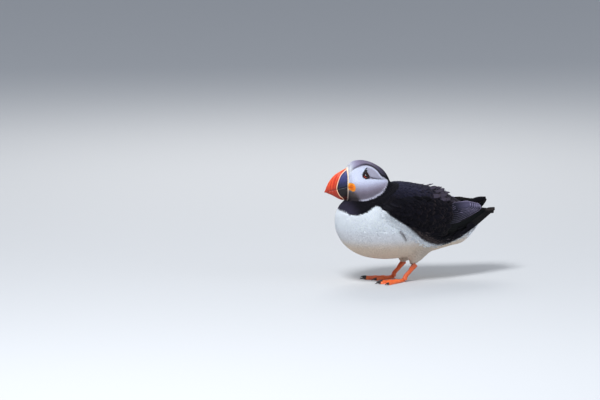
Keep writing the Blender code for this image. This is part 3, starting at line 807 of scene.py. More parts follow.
def build_coat():
    """The small tufts: those of the head by side, and those of the body in pieces from neck to rump."""
    share, angle = scatter(HEAD_TUFTS, head_region, head_size, 11)
    size = head_size(share, angle)
    for k, (side, sign) in enumerate(SIDES):
        mine = (np.cos(angle) >= 0) == (sign > 0)
        length, width = 3.9 * size[mine], 1.1 * size[mine]
        tufts(f"coat_head_{side}", share[mine], angle[mine], length, width, 0.08, "face_feathers", 21 + k)
    share, angle = scatter(BODY_TUFTS, body_region, body_size, 12)
    size = body_size(share, angle)
    lift = 0.11 + 0.4 * ramp(share, KEEL, VENT)
    for k, (name, (low, high)) in enumerate(BODY_PIECES.items()):
        mine = (share >= low) & (share < high)
        slot = "black_feathers" if name == "neck" else "white_feathers"
        length, width = 3.7 * size[mine], 1.1 * size[mine]
        tufts(f"coat_{name}", share[mine], angle[mine], length, width, lift[mine], slot, 31 + k)


# ---------------------------------------------------------------- large feathers

FEATHER_PARTS = np.array([0.0, 0.25, 0.5, 0.7, 0.84, 0.93, 0.98, 1.0])
QUILL_PARTS = np.array([0.0, 0.1, 0.2, 0.3, 0.4, 0.5, 0.6, 0.7, 0.79, 0.87, 0.93, 0.97, 0.992, 1.0])
TOP_ACROSS = np.array([-1.0, -0.55, 0.0, 0.55, 1.0])
VANE_ACROSS = np.append(TOP_ACROSS, [0.55, -0.55])
RING = len(VANE_ACROSS)


def resampled(lines, parts):
    """Lines of evenly spaced points, read instead at the given parts of their length."""
    place = parts * (lines.shape[1] - 1)
    low = np.minimum(place.astype(int), lines.shape[1] - 2)
    share = (place - low)[None, :, None]
    return lines[:, low] * (1 - share) + lines[:, low + 1] * share


def vanes(name, centre, normal, width, tint, wear, material, slot, root_map, seed,
          camber=0.07, thick=0.13, tip_round=0.52, ragged=0.09, parts=FEATHER_PARTS):
    """Feathers as closed thin vanes. Each follows its own centre line with that line's normals: the ring at
    each step has five points over the cambered top and two underneath. The rings widen quickly from the root
    and narrow to a rounded tip. centre and normal are (feathers, steps, 3)."""
    random = np.random.default_rng(seed)
    centre, normal = resampled(centre, parts), unit(resampled(normal, parts))
    count, steps = centre.shape[:2]
    sideways = unit(np.cross(normal, unit(np.gradient(centre, axis=1))))
    widening = np.minimum(1, 0.35 + 0.65 * (parts / 0.3) ** 0.8)
    past = np.clip((parts - (1 - tip_round)) / tip_round, 0, 1)
    half = (width[:, None] / 2 * widening * np.sqrt(np.clip(1 - past**2.4, 0.0004, 1)))[..., None]
    fray = 1 + ragged * random.normal(size=(count, steps, 2)).cumsum(1).clip(-2.5, 2.5) * parts[:, None]
    shift = VANE_ACROSS * half * np.where(VANE_ACROSS < 0, fray[..., :1], fray[..., 1:])
    rise = np.append((1 - TOP_ACROSS**2) * camber, [0, 0]) * half - thick * np.array([0.4, 0, 0, 0, 0.4, 1, 1])
    points = centre[:, :, None] + sideways[:, :, None] * shift[..., None] + normal[:, :, None] * rise[..., None]

    one = grid_faces(steps, RING)
    base = (np.arange(count) * steps * RING)[:, None, None]
    quads = (base + one).reshape(-1, 4)
    caps = np.array([(k, k + 1, RING - 1) for k in range(RING - 2)])
    caps = np.vstack([(base + caps[:, ::-1]).reshape(-1, 3), (base + (steps - 1) * RING + caps).reshape(-1, 3)])
    middle = one.reshape(-1, RING, 4)[:, 1:3].reshape(-1, 4)
    if not faces_out(points[0].reshape(-1, 3), middle, normal[0].repeat(RING, 0)[middle[:, 0]]):
        quads, caps = quads[:, ::-1], caps[:, ::-1]
    made = put_mesh(name, points, [quads, caps], material)
    each = steps * RING
    point_values(
        made, tint=tint.repeat(count * each // len(tint), 0), vane_across=np.tile(VANE_ACROSS, count * steps),
        vane_along=np.tile(parts.repeat(RING), count), vane_wear=wear.repeat(each), gloss=np.ones(count * each),
    )
    local = np.stack([np.tile(VANE_ACROSS / 2, steps), parts.repeat(RING) - 0.5], -1) * PATCH
    bake_map(made, (root_map[:, None] + local).reshape(-1, 2))
    return finish_piece(made, slot)


BODY_LINE_PARTS = np.linspace(0, 1, 7)


def body_line(share, angle, length, sink, lift, yaw):
    """Centre lines over the body for walked feathers, from sink under the surface to lift over it at the tip."""
    part = BODY_LINE_PARTS
    points, normals, _, _ = walk(share, angle, length, len(part), yaw)
    return points + normals * (-sink * (1 - part) ** 1.2 + lift[:, None] * part**1.6)[..., None], normals


BACK_FEATHERS = 1900
BACK_PIECES = {"mantle_feathers": (0, 12.2), "back_feathers": (12.2, 99)}


def back_size(share, angle):
    """Spacing of the back's feathers, larger to the rear."""
    return 2.7 + 1.7 * ramp(share, SHOULDER, KEEL + 2)


def build_back():
    """Mantle, scapulars, back and rump: shingled vanes with worn brown edges, a few of them standing up."""
    share, angle = scatter(BACK_FEATHERS, back_region, back_size, 41)
    order = np.argsort(share)
    share, angle = share[order], angle[order]
    count, spread, root_map = len(share), back_size(share, angle), unwrap(share, angle)
    _, y, z = straight(share, angle).T
    random = np.random.default_rng(42)
    lift = 0.5 + 0.5 * random.random(count) ** 2
    tufted = (y > 36) & (y < 66) & (z > 100) & (random.random(count) < 0.16)
    lift = np.where(tufted, 2.5 + 3.5 * random.random(count), lift)
    length = spread * random.uniform(2.6, 3.3, count)
    centre, normals = body_line(share, angle, length, 1.6, lift, random.normal(0, 0.12, count))
    shade = random.normal(1, 0.18, (count, 1)).clip(0.6, 1.6)
    # Painted sheen: a violet lift on the upward-facing feathers of the upper mantle.
    tint = painted(BACK_BLACK, (TOP_SHEEN_VIOLET, ramp(np.sin(angle), 0.3, 1.0) * fall(y, 6, 56))) * shade
    rear = ramp(y, 50, 62) * ramp(z, 88, 96)
    tint = painted(tint, (TUFT_VIOLET, (rear * random.random(count) ** 1.5 + 0.6 * tufted).clip(0, 0.9)))
    wear = (0.15 + 0.75 * random.random(count) ** 1.5) * (0.35 + 0.65 * ramp(share, SHOULDER, KEEL + 2))
    for k, (name, (low, high)) in enumerate(BACK_PIECES.items()):
        mine = (share >= low) & (share < high)
        of_each = (values[mine] for values in (centre, normals, spread * 1.75, tint, wear))
        vanes(name, *of_each, VANES, "black_feathers", root_map[mine], 43 + k)


# ---------------------------------------------------------------- wings

# Outlines of the folded left wing's three parts, as flat points.
COVERT_TOP = [(-32, 101), (-12, 108.5), (14, 109.5), (42, 105), (66, 98)]
COVERT_LOW = [(-37, 97), (-27, 86.5), (-9, 76), (12, 65), (32, 55)]
SECONDARY_TOP = [(64.0, 95.0), (82, 95.6), (98, 95.8), (106, 94.0), (109.6, 90.0)]
SECONDARY_LOW = [(48.4, 68.6), (62, 71.2), (78, 73.2), (94, 77.0), (109.4, 87)]
PRIMARY_TOP = [(47.6, 67.8), (62, 70.4), (78, 72.4), (94, 76.2), (109, 83.8), (121, 87.0), (131.5, 86.2)]
PRIMARY_LOW = [(32.4, 54.6), (46, 47.6), (62, 47.6), (80, 53.4), (102, 65.6), (120, 76.2), (132, 81.6)]
WING_OUTLINE = COVERT_TOP + SECONDARY_TOP[1:-1] + PRIMARY_TOP[-2:] + PRIMARY_LOW[::-1] + COVERT_LOW[::-1][1:]
WING_TABLE = distance_table(np.array(WING_OUTLINE, float), edge_distance, (-60, 36), (146, 124), 1.0)
WING_BEDS = (  # name, outline above and below, how far inside them, whether the right one is raised
    ("coverts", COVERT_TOP, COVERT_LOW, 0.05, 0.0),
    ("secondaries", SECONDARY_TOP, SECONDARY_LOW, 0.12, 0.0),
    ("primaries", PRIMARY_TOP, PRIMARY_LOW, 0.12, 1.0),
)
RIGHT_TIP_RISE = np.array([4.0, 8.5])
COVERT_ROWS, QUILL_COUNT = 18, 9
SECONDARY_BLACK, SECONDARY_VIOLET = (0.006, 0.006, 0.011), (0.064, 0.058, 0.100)
PRIMARY_BLACK, TAIL_BLACK = np.array([0.0036, 0.0042, 0.0046]), np.array([0.0075, 0.0068, 0.0080])

SIDE_PLACES = every_pair(np.linspace(NAPE + 1, LAST, 200), np.linspace(-math.pi / 2, math.pi / 2, 72))
SIDE_TABLE = width_table(*SIDE_PLACES, fall(SIDE_PLACES[0], *TURN_FADES), (-50, 36), (142, 130), 2.0, 6.0)


def wing_surface(flat):
    """Distance from the middle plane of the folded wing's outer face at flat points: the body's side or the
    wing's own free line, whichever is further out, with the wing's crown over it."""
    body = on_grid(SIDE_TABLE, flat) + 1.0
    free = np.interp(flat[..., 0], (-40, 20, 70, 100, 132), (0, 20, 25, 22, 17))
    crown = 0.8 + 3.0 * ramp(on_grid(WING_TABLE, flat), -3, 14) * (1 - 0.62 * ramp(flat[..., 0], 50, 110))
    return np.maximum(body, free) + 0.6 * bell(body - free, 2.5) + crown


def wing_place(flat, sign, height, rise=0.0):
    """Points and outward normals a height above the wing's outer face at flat points. rise is how much of the
    right wing's raised tip they take up."""
    flat = flat + RIGHT_TIP_RISE * rise * ramp(flat[..., :1], 56, 98) * (sign < 0)
    return raised(wing_surface, flat, height, sign)


def wing_heading(flat):
    """Angle that the wing's feathers rise at: down and back at the shoulder, up and back at the tip."""
    middle = np.interp(flat[..., 0], (-40, 30, 70, 130), (95, 78, 72, 80))
    slope = np.interp(flat[..., 0], (-40, -10, 25, 55, 85, 110, 135), (-42, -34, -22, 0, 17, 22, 18))
    return np.radians(slope + np.interp(flat[..., 1] - middle, (-25, 0, 25), (-4, 0, 10)))


def wing_lines(root, length, steps, turn):
    """Flat centre lines that follow the wing's heading from each root, turned by a small angle of their own."""
    lines = [root]
    stride = np.stack([length, np.zeros(len(length))], -1) / (steps - 1)
    for _ in range(steps - 1):
        lines.append(lines[-1] + spun(stride, wing_heading(lines[-1]) + turn))
    return np.stack(lines, 1)


def between(low, top, run, level):
    """Points at a share of the way along two outlines and a level between them, 0 on low and 1 on top."""
    lower, upper = (rows_through(edge, run * (len(edge) - 1)) for edge in (low, top))
    return lower + (upper - lower) * level[..., None]


def curved_lines(root, tip, part, bow):
    """Lines from root to tip as flat points at parts of the way, bowed sideways by a share of their length."""
    part, chord = part[:, None], (tip - root)[:, None]
    return root[:, None] + chord * part + spun(chord, math.pi / 2) * bow * 4 * part * (1 - part)


def wing_bed(name, top, low, sign, inset, rise):
    """A wing part's closed bed under its feathers: a thin lens between its edges, drawn in from them."""
    rows, columns = 34, 15
    run, level = np.linspace(0.01, 0.99, rows)[:, None], np.linspace(inset, 1 - inset, columns)
    flat = between(top, low, run, level)
    swell = 1 - np.abs(np.linspace(-1, 1, columns)) ** 3
    outer, _ = wing_place(flat, sign, -0.9, rise)
    inner, _ = wing_place(flat, sign, -0.9 - (0.5 + 1.6 * swell) * (1 - 0.5 * run), rise)
    made = rings_mesh(name, np.concatenate([outer, inner[:, ::-1]], 1), COAT)
    count = len(made.data.vertices)
    point_values(made, tint=np.tile(BLACK, (count, 1)), gloss=np.ones(count))
    return made


def side_map(flat, middle):
    """Place of the side's flat points on the unwrap of the skin, round the place called middle."""
    return np.stack([middle + (flat[:, 1] - 75) / 500, 0.35 + (flat[:, 0] + 40) / 300], -1)


def build_coverts(side, sign, random):
    """Rows of small vanes from the wing's leading edge back, larger row by row."""
    roots, sizes = [], []
    for row in range(COVERT_ROWS):
        part = (row / (COVERT_ROWS - 1)) ** 0.92
        place = (0.02 + 0.95 * part) * (len(COVERT_TOP) - 1)
        upper, lower = rows_through(COVERT_TOP, place) + (-4, 1.5), rows_through(COVERT_LOW, place) + (-3, -0.5)
        size = 3.6 + 4.2 * part
        number = int(np.linalg.norm(upper - lower) / (size * 0.62)) + 2
        q = (np.arange(number) + 0.5 * (row % 2)) / number + random.normal(0, 0.012, number)
        roots.append(upper + (lower - upper) * q[:, None] + random.normal(0, 0.6, (number, 2)))
        sizes.append(np.full(number, size))
    root, size = np.vstack(roots), np.concatenate(sizes)
    length = size * 2.7 * random.uniform(0.85, 1.15, len(root))
    part = np.linspace(0, 1, 8)
    line = wing_lines(root, length, len(part), random.normal(0, 0.09, len(root)))
    inside = on_grid(WING_TABLE, line[:, 2:]).min(1) > 0.375 * size - 1.2
    root, line, size = root[inside], line[inside], size[inside]
    count = len(root)
    height = -1.3 * (1 - part) ** 1.1 + (0.45 + 0.45 * random.random((count, 1))) * part**1.5
    tint = BACK_BLACK * random.normal(1, 0.2, (count, 1)).clip(0.6, 1.7)
    wear = (0.12 + 0.7 * random.random(count) ** 1.6) * (0.35 + 0.65 * ramp(root[:, 0], -20, 40))
    lines = wing_place(line, sign, height)
    root_map = side_map(root, 0.22 if sign > 0 else 0.72)
    vanes(f"coverts_{side}", *lines, size * 1.25, tint, wear, VANES, "wing_feathers", root_map, 52 + sign)


def build_wing(side, sign):
    """A folded wing: three beds, rows of coverts, nine secondaries in nested chevrons with each upper one over
    the one below it, and nine long narrow primaries stacked under them, each longer than the one above it."""
    random = np.random.default_rng(51 + sign)
    for name, top, low, inset, rise in WING_BEDS:
        bed = wing_bed(f"wing_bed_{side}_{name}", top, low, sign, inset, rise)
        finish_piece(bed, "wing_feathers", f"wing_{side}_{name}")
    build_coverts(side, sign, random)

    k = np.arange(QUILL_COUNT) / (QUILL_COUNT - 1)
    up = k[:, None]
    map_side = 0.0 if sign > 0 else 0.5

    part = np.linspace(0, 1, 14)
    run = part * np.interp(k, (0, 0.25, 1), (1.0, 0.97, 0.46))[:, None]
    level = 0.10 + 0.74 * up
    level = level + 0.8 * np.maximum(0.82 - level, 0) * ramp(part, 0.4, 1.0) * ramp(up, 0.05, 0.3)
    height = -1.0 * (1 - part) + (0.2 + 3.0 * up) * np.minimum(1, part * 2)
    lines = wing_place(between(SECONDARY_LOW, SECONDARY_TOP, run, level), sign, height)
    light = ramp(QUILL_PARTS, 0.2, 0.9) * (0.2 + 0.8 * ramp(up, 0.15, 0.6))
    light = light * random.normal(1, 0.15, (QUILL_COUNT, 1)).clip(0.7, 1.3)
    tint = painted(SECONDARY_BLACK, (SECONDARY_VIOLET, light)).reshape(-1, 3)
    wear = 1.0 + 0.5 * random.random(QUILL_COUNT)
    base = np.stack([0.24 + map_side + k * 0.05, np.full(QUILL_COUNT, 0.7)], -1)
    vanes(f"secondaries_{side}", *lines, 9.4 + 0.4 * k, tint, wear, PALE_QUILLS, "wing_feathers", base, 54 + sign,
          tip_round=0.2, ragged=0.015, camber=0.04, parts=QUILL_PARTS)

    part = np.linspace(0, 1, 18)
    run = 0.02 + (0.975 - 0.2 * up) * part
    level = 0.12 + 0.72 * up + 0.35 * ramp(run, 0.7, 1.0) * (1 - up)
    line = between(PRIMARY_LOW, PRIMARY_TOP, run, level)
    if sign < 0:
        root, tip = np.stack([36 + 14 * k, 50.5 + 32 * k], -1), np.stack([132.5 - 27 * k, 82.8 + 0.6 * k], -1)
        line = curved_lines(root, tip, part, -0.13 * (1 - up)[..., None])
    height = -1.4 * (1 - part) ** 2 + (-0.9 + 1.6 * up) * np.minimum(1, part * 1.5)
    lines = wing_place(line, sign, height, 1.0)
    tint = PRIMARY_BLACK * random.normal(1, 0.12, (QUILL_COUNT, 1)).clip(0.8, 1.3)
    wear = 0.5 + 0.4 * random.random(QUILL_COUNT)
    base = np.stack([0.20 + map_side - k * 0.05, np.full(QUILL_COUNT, 0.8)], -1)
    vanes(f"primaries_{side}", *lines, 6.8 + 0.6 * k, tint, wear, QUILLS, "wing_feathers", base, 56 + sign,
          tip_round=0.22, ragged=0.01, camber=0.04, parts=QUILL_PARTS)


# ---------------------------------------------------------------- flank and tail

FLANK_TUFTS = 4200
FLANK_BROWN, FLANK_GREY = (0.105, 0.082, 0.080), (0.13, 0.11, 0.12)


def side_reach(flat):
    """How far out the bird's side is at flat points: the body outside the wing and the wing inside it."""
    inside = ramp(on_grid(WING_TABLE, flat), -4.0, 1.0)
    return (on_grid(SIDE_TABLE, flat) + 0.3) * (1 - inside) + (wing_surface(flat) + 1.2) * inside


def build_flank(side, sign):
    """Long soft flank feathers that lap over the folded wing's lower edge, from white through dusky brown to
    the wing's black, with a few pale streaks low on the rear flank."""
    random = np.random.default_rng(91 + sign)
    count = FLANK_TUFTS
    lower = rows_through(COVERT_LOW + PRIMARY_LOW[1:5], np.linspace(0.2, 7.6, 400))
    place = lower[random.integers(0, 400, count)]
    soft = ramp(place[:, 0], -8, 20)
    move = random.normal(-2, 1.5, count), random.normal(0, 1, count) * (1.6 + 2.6 * soft) - 2.0 - 1.5 * soft
    place = place + np.stack(move, -1)
    heading = np.interp(place[:, 0], (-40, -5, 30, 60, 90), (-38, -30, -8, 6, 24)) + random.normal(0, 9, count)
    length = (5.0 + 5.5 * soft) * random.uniform(0.7, 1.3, count)
    run = spun(np.stack([length, np.zeros(count)], -1), np.radians(heading))
    kept = (on_grid(SIDE_TABLE, place) > 17) & (on_grid(SIDE_TABLE, place + run) > 15)
    place, run, soft = place[kept], run[kept], soft[kept]
    count, y = len(place), place[:, 0]
    flat = place[:, None] + run[:, None] * np.array([0, 0.5, 1.0])[:, None]
    path, normals = raised(side_reach, flat, np.zeros((count, 3)), sign)
    shown = place + run * 0.7
    depth = on_grid(WING_TABLE, shown) + random.normal(0, 1, count) * (0.5 + 1.2 * soft)
    dark = np.maximum(ramp(depth, -1.0, 3.0), ramp(depth, -6.0, -2.5) * ramp(y, 34, 52) * fall(y, 70, 84))
    streak = (random.random(count) < 0.06) * (y > 42) * (y < 76)
    colour = painted(
        BACK_BLACK * 1.4, (WHITE * 0.92, ramp(on_grid(WHITE_TABLE, shown), -1.5, 1.5)),
        (FLANK_BROWN, 0.9 * ramp(depth, -6.0, 0.5) * soft * fall(y, 40, 66)),
        (BACK_BLACK * 1.4, dark), (FLANK_GREY, 0.8 * streak),
    )
    colour = colour * random.normal(1, 0.12, count).clip(0.7, 1.3)[:, None]
    lift = 0.4 + 0.6 * random.random(count)
    shape, root_map = (path, normals, 1.3 + 0.5 * soft, 0.7, lift), side_map(place, 0.24 if sign > 0 else 0.76)
    spindles(f"flank_{side}", *shape, colour, 0.8 * dark, root_map, "white_feathers")


TAIL_QUILLS, TAIL_COVERTS = 14, 260


def build_tail():
    """Short tail: paired quills fanned from the rump, the middle pair on top, with coverts over their roots."""
    k, part = np.linspace(-1, 1, TAIL_QUILLS), np.linspace(0, 1, 12)[:, None]
    same = np.ones(TAIL_QUILLS)
    root = np.stack([k * 6.5, 98.0 * same, 83.0 - 3.0 * k**2], -1)
    tip = np.stack([k * 12.2, 136.4 - 4.5 * k**2, 79.6 - 1.4 * k**2], -1)
    centre = root[:, None] + (tip - root)[:, None] * part
    centre[..., 2] += 1.6 * np.sin(math.pi * part[:, 0]) + (0.9 * (1 - np.abs(k)))[:, None]
    normals = unit(np.stack([k * 0.35, 0.12 * same, same], -1))[:, None].repeat(len(part), 1)
    base = np.stack([0.24 + 0.01 * k, 0.97 * same], -1)
    tint = TAIL_BLACK * same[:, None]
    made = vanes("tail_feathers", centre, normals, 7.4 * same, tint, 0.35 * same, QUILLS, "black_feathers", base, 61,
                 tip_round=0.2, ragged=0.015, thick=0.35, parts=QUILL_PARTS)
    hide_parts("tail")

    share, angle = scatter(TAIL_COVERTS, lambda s, a: (s > VENT + 1.6) * 1.0, lambda s, a: 3.0, 63)
    random = np.random.default_rng(64)
    count = len(share)
    under = np.sin(angle) < -0.1
    length = np.where(under, 13.0, 11.0) * random.uniform(0.8, 1.2, count)
    lift = 0.5 + 0.6 * random.random(count)
    centre, normals = body_line(share, angle, length, 1.2, lift, random.normal(0, 0.1, count))
    ahead = unit(centre[:, -1] - centre[:, -2])
    overrun = np.clip(length - np.linalg.norm(centre[:, -1] - centre[:, 0], axis=-1), 0, 9)
    centre = centre + ahead[:, None] * (overrun[:, None] * BODY_LINE_PARTS)[..., None]
    colour = painted(BLACK, (WHITE * 0.85, under))
    x, y, z = centre[:, -1].T
    kept = ((np.abs(x) < 12.5) | (z < 56)) & ((y < 113) | ~under) & (z < 91.5)
    same = np.ones(kept.sum())
    vanes("tail_coverts", centre[kept], normals[kept], 5.0 * same, colour[kept], 0.0 * same, VANES, "white_feathers",
          unwrap(share, angle)[kept], 65, ragged=0.12, tip_round=0.5)


# ---------------------------------------------------------------- bill

# The bill's sections: y, culmen z, gape z, gonys z, half width.
BILL = np.array([
    (-60.7, 141.6, 119.0, 102.4, 7.0),
    (-65.0, 139.4, 118.0, 102.4, 6.2),
    (-69.4, 137.0, 116.9, 103.6, 5.4),
    (-74.0, 134.2, 115.8, 106.2, 4.5),
    (-78.4, 130.0, 114.7, 108.6, 3.7),
    (-82.2, 124.8, 113.7, 110.2, 2.9),
    (-84.8, 119.4, 112.9, 111.4, 2.1),
    (-86.9, 114.0, 111.5, 111.5, 1.1),
])
BILL_ARC = rows_through(np.array([
    (-57.0, 143.0), (-59.5, 141.3), (-66.9, 134.5), (-70.7, 127.0), (-72.8, 118.9), (-71.9, 113.3),
    (-68.8, 107.8), (-65.7, 105.3), (-62.6, 101.5),
]), np.linspace(0, 8, 72))
GROOVES = (3.6, 7.2, 10.4)  # how far ahead of the arc
BILL_RED, BILL_ORANGE, BILL_PEACH = (0.58, 0.038, 0.016), (0.85, 0.20, 0.045), (0.84, 0.52, 0.33)
GROOVE_SHADE_RED, SHADED_LOW_RED, DEEP_RED = (0.36, 0.022, 0.012), (0.34, 0.036, 0.020), (0.30, 0.030, 0.016)
BILL_SLATE, SLATE_SHEEN_BLUE, SLATE_SHADE_BLACK = (0.017, 0.019, 0.052), (0.055, 0.060, 0.20), (0.012, 0.009, 0.010)
BILL_BROWN = (0.085, 0.022, 0.020)
RIDGE_CREAM, RIDGE_PINK, RIDGE_GREY = (0.78, 0.60, 0.42), (0.74, 0.50, 0.42), (0.20, 0.15, 0.15)


def ahead_of_arc(flat):
    """Signed distance from the pale arc across the bill, at flat points: positive towards the tip."""
    crossing = np.interp(flat[:, 1], BILL_ARC[::-1, 1], BILL_ARC[::-1, 0])
    return np.where(flat[:, 0] < crossing, 1, -1) * line_distance(flat, BILL_ARC)


def bill_ring(rows, angle, upper):
    """An arch over the gape line for the upper mandible, or a keel under it for the lower one."""
    y, culmen, gape, gonys, half = np.moveaxis(rows, -1, 0)[..., None]
    shut = gape + (0.15 if upper else -0.15)
    side = half * np.sign(np.cos(angle)) * np.abs(np.cos(angle)) ** 1.1
    height = shut + ((culmen if upper else gonys) - shut) * np.sin(angle) ** 0.9
    return np.stack(np.broadcast_arrays(side, y, height), -1)


def bill_relief(points, ahead):
    """Height of the bill's plates, arc ridge and curved grooves, on its sides."""
    relief = 0.30 * bell(ahead, 0.8) - 0.22 * fall(ahead, -2.4, -0.9) + 0.05 * waves(points, 2.2, 5)
    return relief - 0.42 * sum(bell(ahead - groove, 0.6) for groove in GROOVES)


def bill_colour(points, ahead, crest):
    """Colour at the bill's points: a slate plate with a painted sheen high up and painted shade low down, a pale arc,
    and a red tip with painted shade low down and in its grooves, lighter along its ridges (their own paler tone and a
    painted highlight) and, by crest, along the culmen and the chin's keel."""
    height = points[:, 2]
    red = painted(BILL_RED, (BILL_ORANGE, (0.22 * ramp(ahead, 5, 14) + 0.12 * waves(points, 5.0, 8)).clip(0, 1)))
    for groove in GROOVES:
        # Painted shade in each groove, and beside it a lighter orange that is partly the ridge's own paler tone and
        # partly a painted highlight.
        sunk, raised_edge = bell(ahead - groove, 0.4), bell(ahead - groove + 0.9, 0.4)
        red = painted(red, (GROOVE_SHADE_RED, 0.55 * sunk), (BILL_ORANGE, 0.4 * raised_edge))
    # The red gets painted shade low down, where it faces the ground.
    red = painted(
        red, (SHADED_LOW_RED, 0.75 * fall(height, 115, 123)),
        (DEEP_RED, 0.5 * fall(ahead, 1, 6) * fall(height, 122, 130)), (BILL_ORANGE, 0.7 * crest),
    )
    # The slate plate gets a painted bluish sheen high up and painted shade low down.
    slate = painted(
        BILL_SLATE, (SLATE_SHEEN_BLUE, 0.65 * ramp(height, 120, 131)), (SLATE_SHADE_BLACK, fall(height, 115, 122)),
        (BILL_BROWN, fall(height, 104.5, 109)),
    )
    slate = slate * (1 + 0.20 * waves(points, 4.0, 9))[:, None]
    return painted(slate, (red, ramp(ahead, 0.1, 0.6)), (BILL_PEACH, bell(ahead, 0.46, 4))).clip(0.004, 0.9)


def build_bill():
    """The horn of both mandibles: rings closed along the gape, with a rounded nose, and two rings drawn in
    under the ridge behind. Grooves and plates stand on the sides only."""
    arch, shut = np.linspace(0, math.pi, 121), np.linspace(0, 1, 15)[1:-1, None]
    steep, flat_part = np.abs(np.cos(arch)), np.zeros(len(shut))
    sides, crest = np.append(ramp(steep, 0.08, 0.45), flat_part), np.append(fall(steep, 0.05, 0.4), flat_part)
    edge_round = np.append(0.35 * bell(np.minimum(arch, math.pi - arch), 0.07), flat_part)
    nose_turn = np.linspace(0.15, 0.98, 8)[:, None, None] * math.pi / 2
    for name, upper, last in (("bill_upper", True, 7.0), ("bill_lower", False, 6.0)):
        rings = bill_ring(rows_through(BILL, np.linspace(0, last, 220)), arch, upper)
        rings = np.concatenate([rings, rings[:, -1:] + (rings[:, :1] - rings[:, -1:]) * shut], 1)
        first, middle = rings[0].mean(0), rings[-1].mean(0)
        back = [(rings[0] - first) * size + first + (0, move, 0) for size, move in ((0.90, 2.2), (0.94, 1.0))]
        nose = middle + (rings[-1] - middle) * np.cos(nose_turn) - (0, 0.5, 0) * np.sin(nose_turn)
        rings = np.concatenate([back, rings, nose])
        points = rings.reshape(-1, 3)
        ahead = ahead_of_arc(points[:, 1:])
        relief = bill_relief(points, ahead).reshape(rings.shape[:2]) * sides
        shaped = rings + unit((rings - rings.mean(1, keepdims=True)) * (1, 0, 0.35)) * relief[..., None]
        shaped[..., 0] -= np.sign(rings[..., 0]) * edge_round
        made = rings_mesh(f"{name}_horn", turned(shaped), HORN)
        # Painted shade along the gape line, where the mandibles meet.
        gape_shade = bell(points[:, 2] - np.interp(points[:, 1], BILL[::-1, 0], BILL[::-1, 2]), 0.3, 1)
        colour = bill_colour(points, ahead, np.tile(crest, len(rings)))
        point_values(made, tint=colour * (1 - 0.45 * gape_shade)[:, None])
        finish_piece(made, "bill_red", name)


def build_rim():
    """The fleshy ridge round the bill's base, widest at its top, pitted all over."""
    angle, turn = ring_angles(180), ring_angles(28)
    above = angle <= math.pi
    around = np.where(above, angle, 2 * math.pi - angle)
    line = np.where(above[:, None], bill_ring(BILL[0], around, True), bill_ring(BILL[0], around, False))
    line = (line + np.roll(line, 1, 0) + np.roll(line, -1, 0)) / 3
    out = unit((line - (0, 0, 121.0)) * (1, 0, 0.55))[:, None]
    top = ramp(line[:, 2], 132, 142)[:, None]
    grid = line[:, None] + (0, 1.9, 0) + out * (0.2 + 0.85 * np.sin(turn))[:, None]
    grid = grid + (0, 1.0, 0) * (np.cos(turn) * (0.95 + 1.0 * top))[..., None]
    pits = waves(grid, 1.5, 15) * np.clip(np.sin(turn), 0, 1)
    grid = grid + out * (0.10 * pits)[..., None]
    made = rings_mesh("bill_base_ridge", turned(grid), BARE_SKIN, looped=True)
    colour = painted(RIDGE_CREAM, (RIDGE_PINK, 0.5 * top), (RIDGE_GREY, 0.8 * fall(grid[..., 2], 112, 119)))
    point_values(made, tint=(colour * (1 + 0.16 * pits)[..., None]).reshape(-1, 3))
    finish_piece(made, "bill_cream", "bill_rim")


# ---------------------------------------------------------------- rosettes and eyes

CHEEK_PLACES = every_pair(np.linspace(0, NAPE, 150), np.linspace(-math.pi / 2, math.pi / 2, 80))
CHEEK = width_table(*CHEEK_PLACES, 0.0, (-64, 104), (-20, 150), 1.0, 0.5)
ROSETTE_ORANGE, ROSETTE_YELLOW, CREASE_SHADE_RED = (0.68, 0.15, 0.008), (0.76, 0.29, 0.02), (0.34, 0.03, 0.012)
EYE_BLACK, IRIS_BROWN, PLATE_BLACK = (0.003, 0.003, 0.004), (0.014, 0.007, 0.0045), (0.006, 0.005, 0.007)
LID_SHADOW_DARK, LID_RED = (0.070, 0.008, 0.008), (0.48, 0.033, 0.016)
EYE_RADIUS, EYE_SINK = 5.0, 3.9
FACE_SINK = 0.45  # how far under the face's surface the cushions and eyes are set
GAPE_WAY = np.array([(-0.98, -0.20), (0.20, -0.98)]).T  # along the gape and square to it, as flat vectors


def pad(name, outline, sign, height, depth, slot, colour, *nodes, rows=22, relief=None):
    """A low closed cushion on the side of the face: rings shrink from its outline to its middle, and it stands
    height over the face and runs depth under it. relief adds to the height, and colour gives the tints."""
    middle, q = outline.mean(0), np.linspace(0.02, 1, rows)[:, None]
    over = middle + (outline - middle) * q[..., None]
    under = middle + (outline - middle) * np.array([1.0, 0.6, 0.1])[:, None, None] * 0.98
    rise = height * (1 - q**2.6) ** 0.7 + (relief(over, q) if relief else 0)
    x = np.concatenate([on_grid(CHEEK, over) + rise, on_grid(CHEEK, under) - depth]) - FACE_SINK
    rings = np.concatenate([x[..., None], np.concatenate([over, under])], -1)
    made = rings_mesh(name, turned(rings * (sign, 1, 1)), BARE_SKIN)
    point_values(made, tint=colour(rings.reshape(-1, 3)))
    return finish_piece(made, slot, *nodes)


def oval(centre, radii, tilt):
    """An ellipse of flat points, turned by tilt."""
    turn = ring_angles(64)
    return np.array(centre) + spun(np.stack([radii[0] * np.cos(turn), radii[1] * np.sin(turn)], -1), tilt)


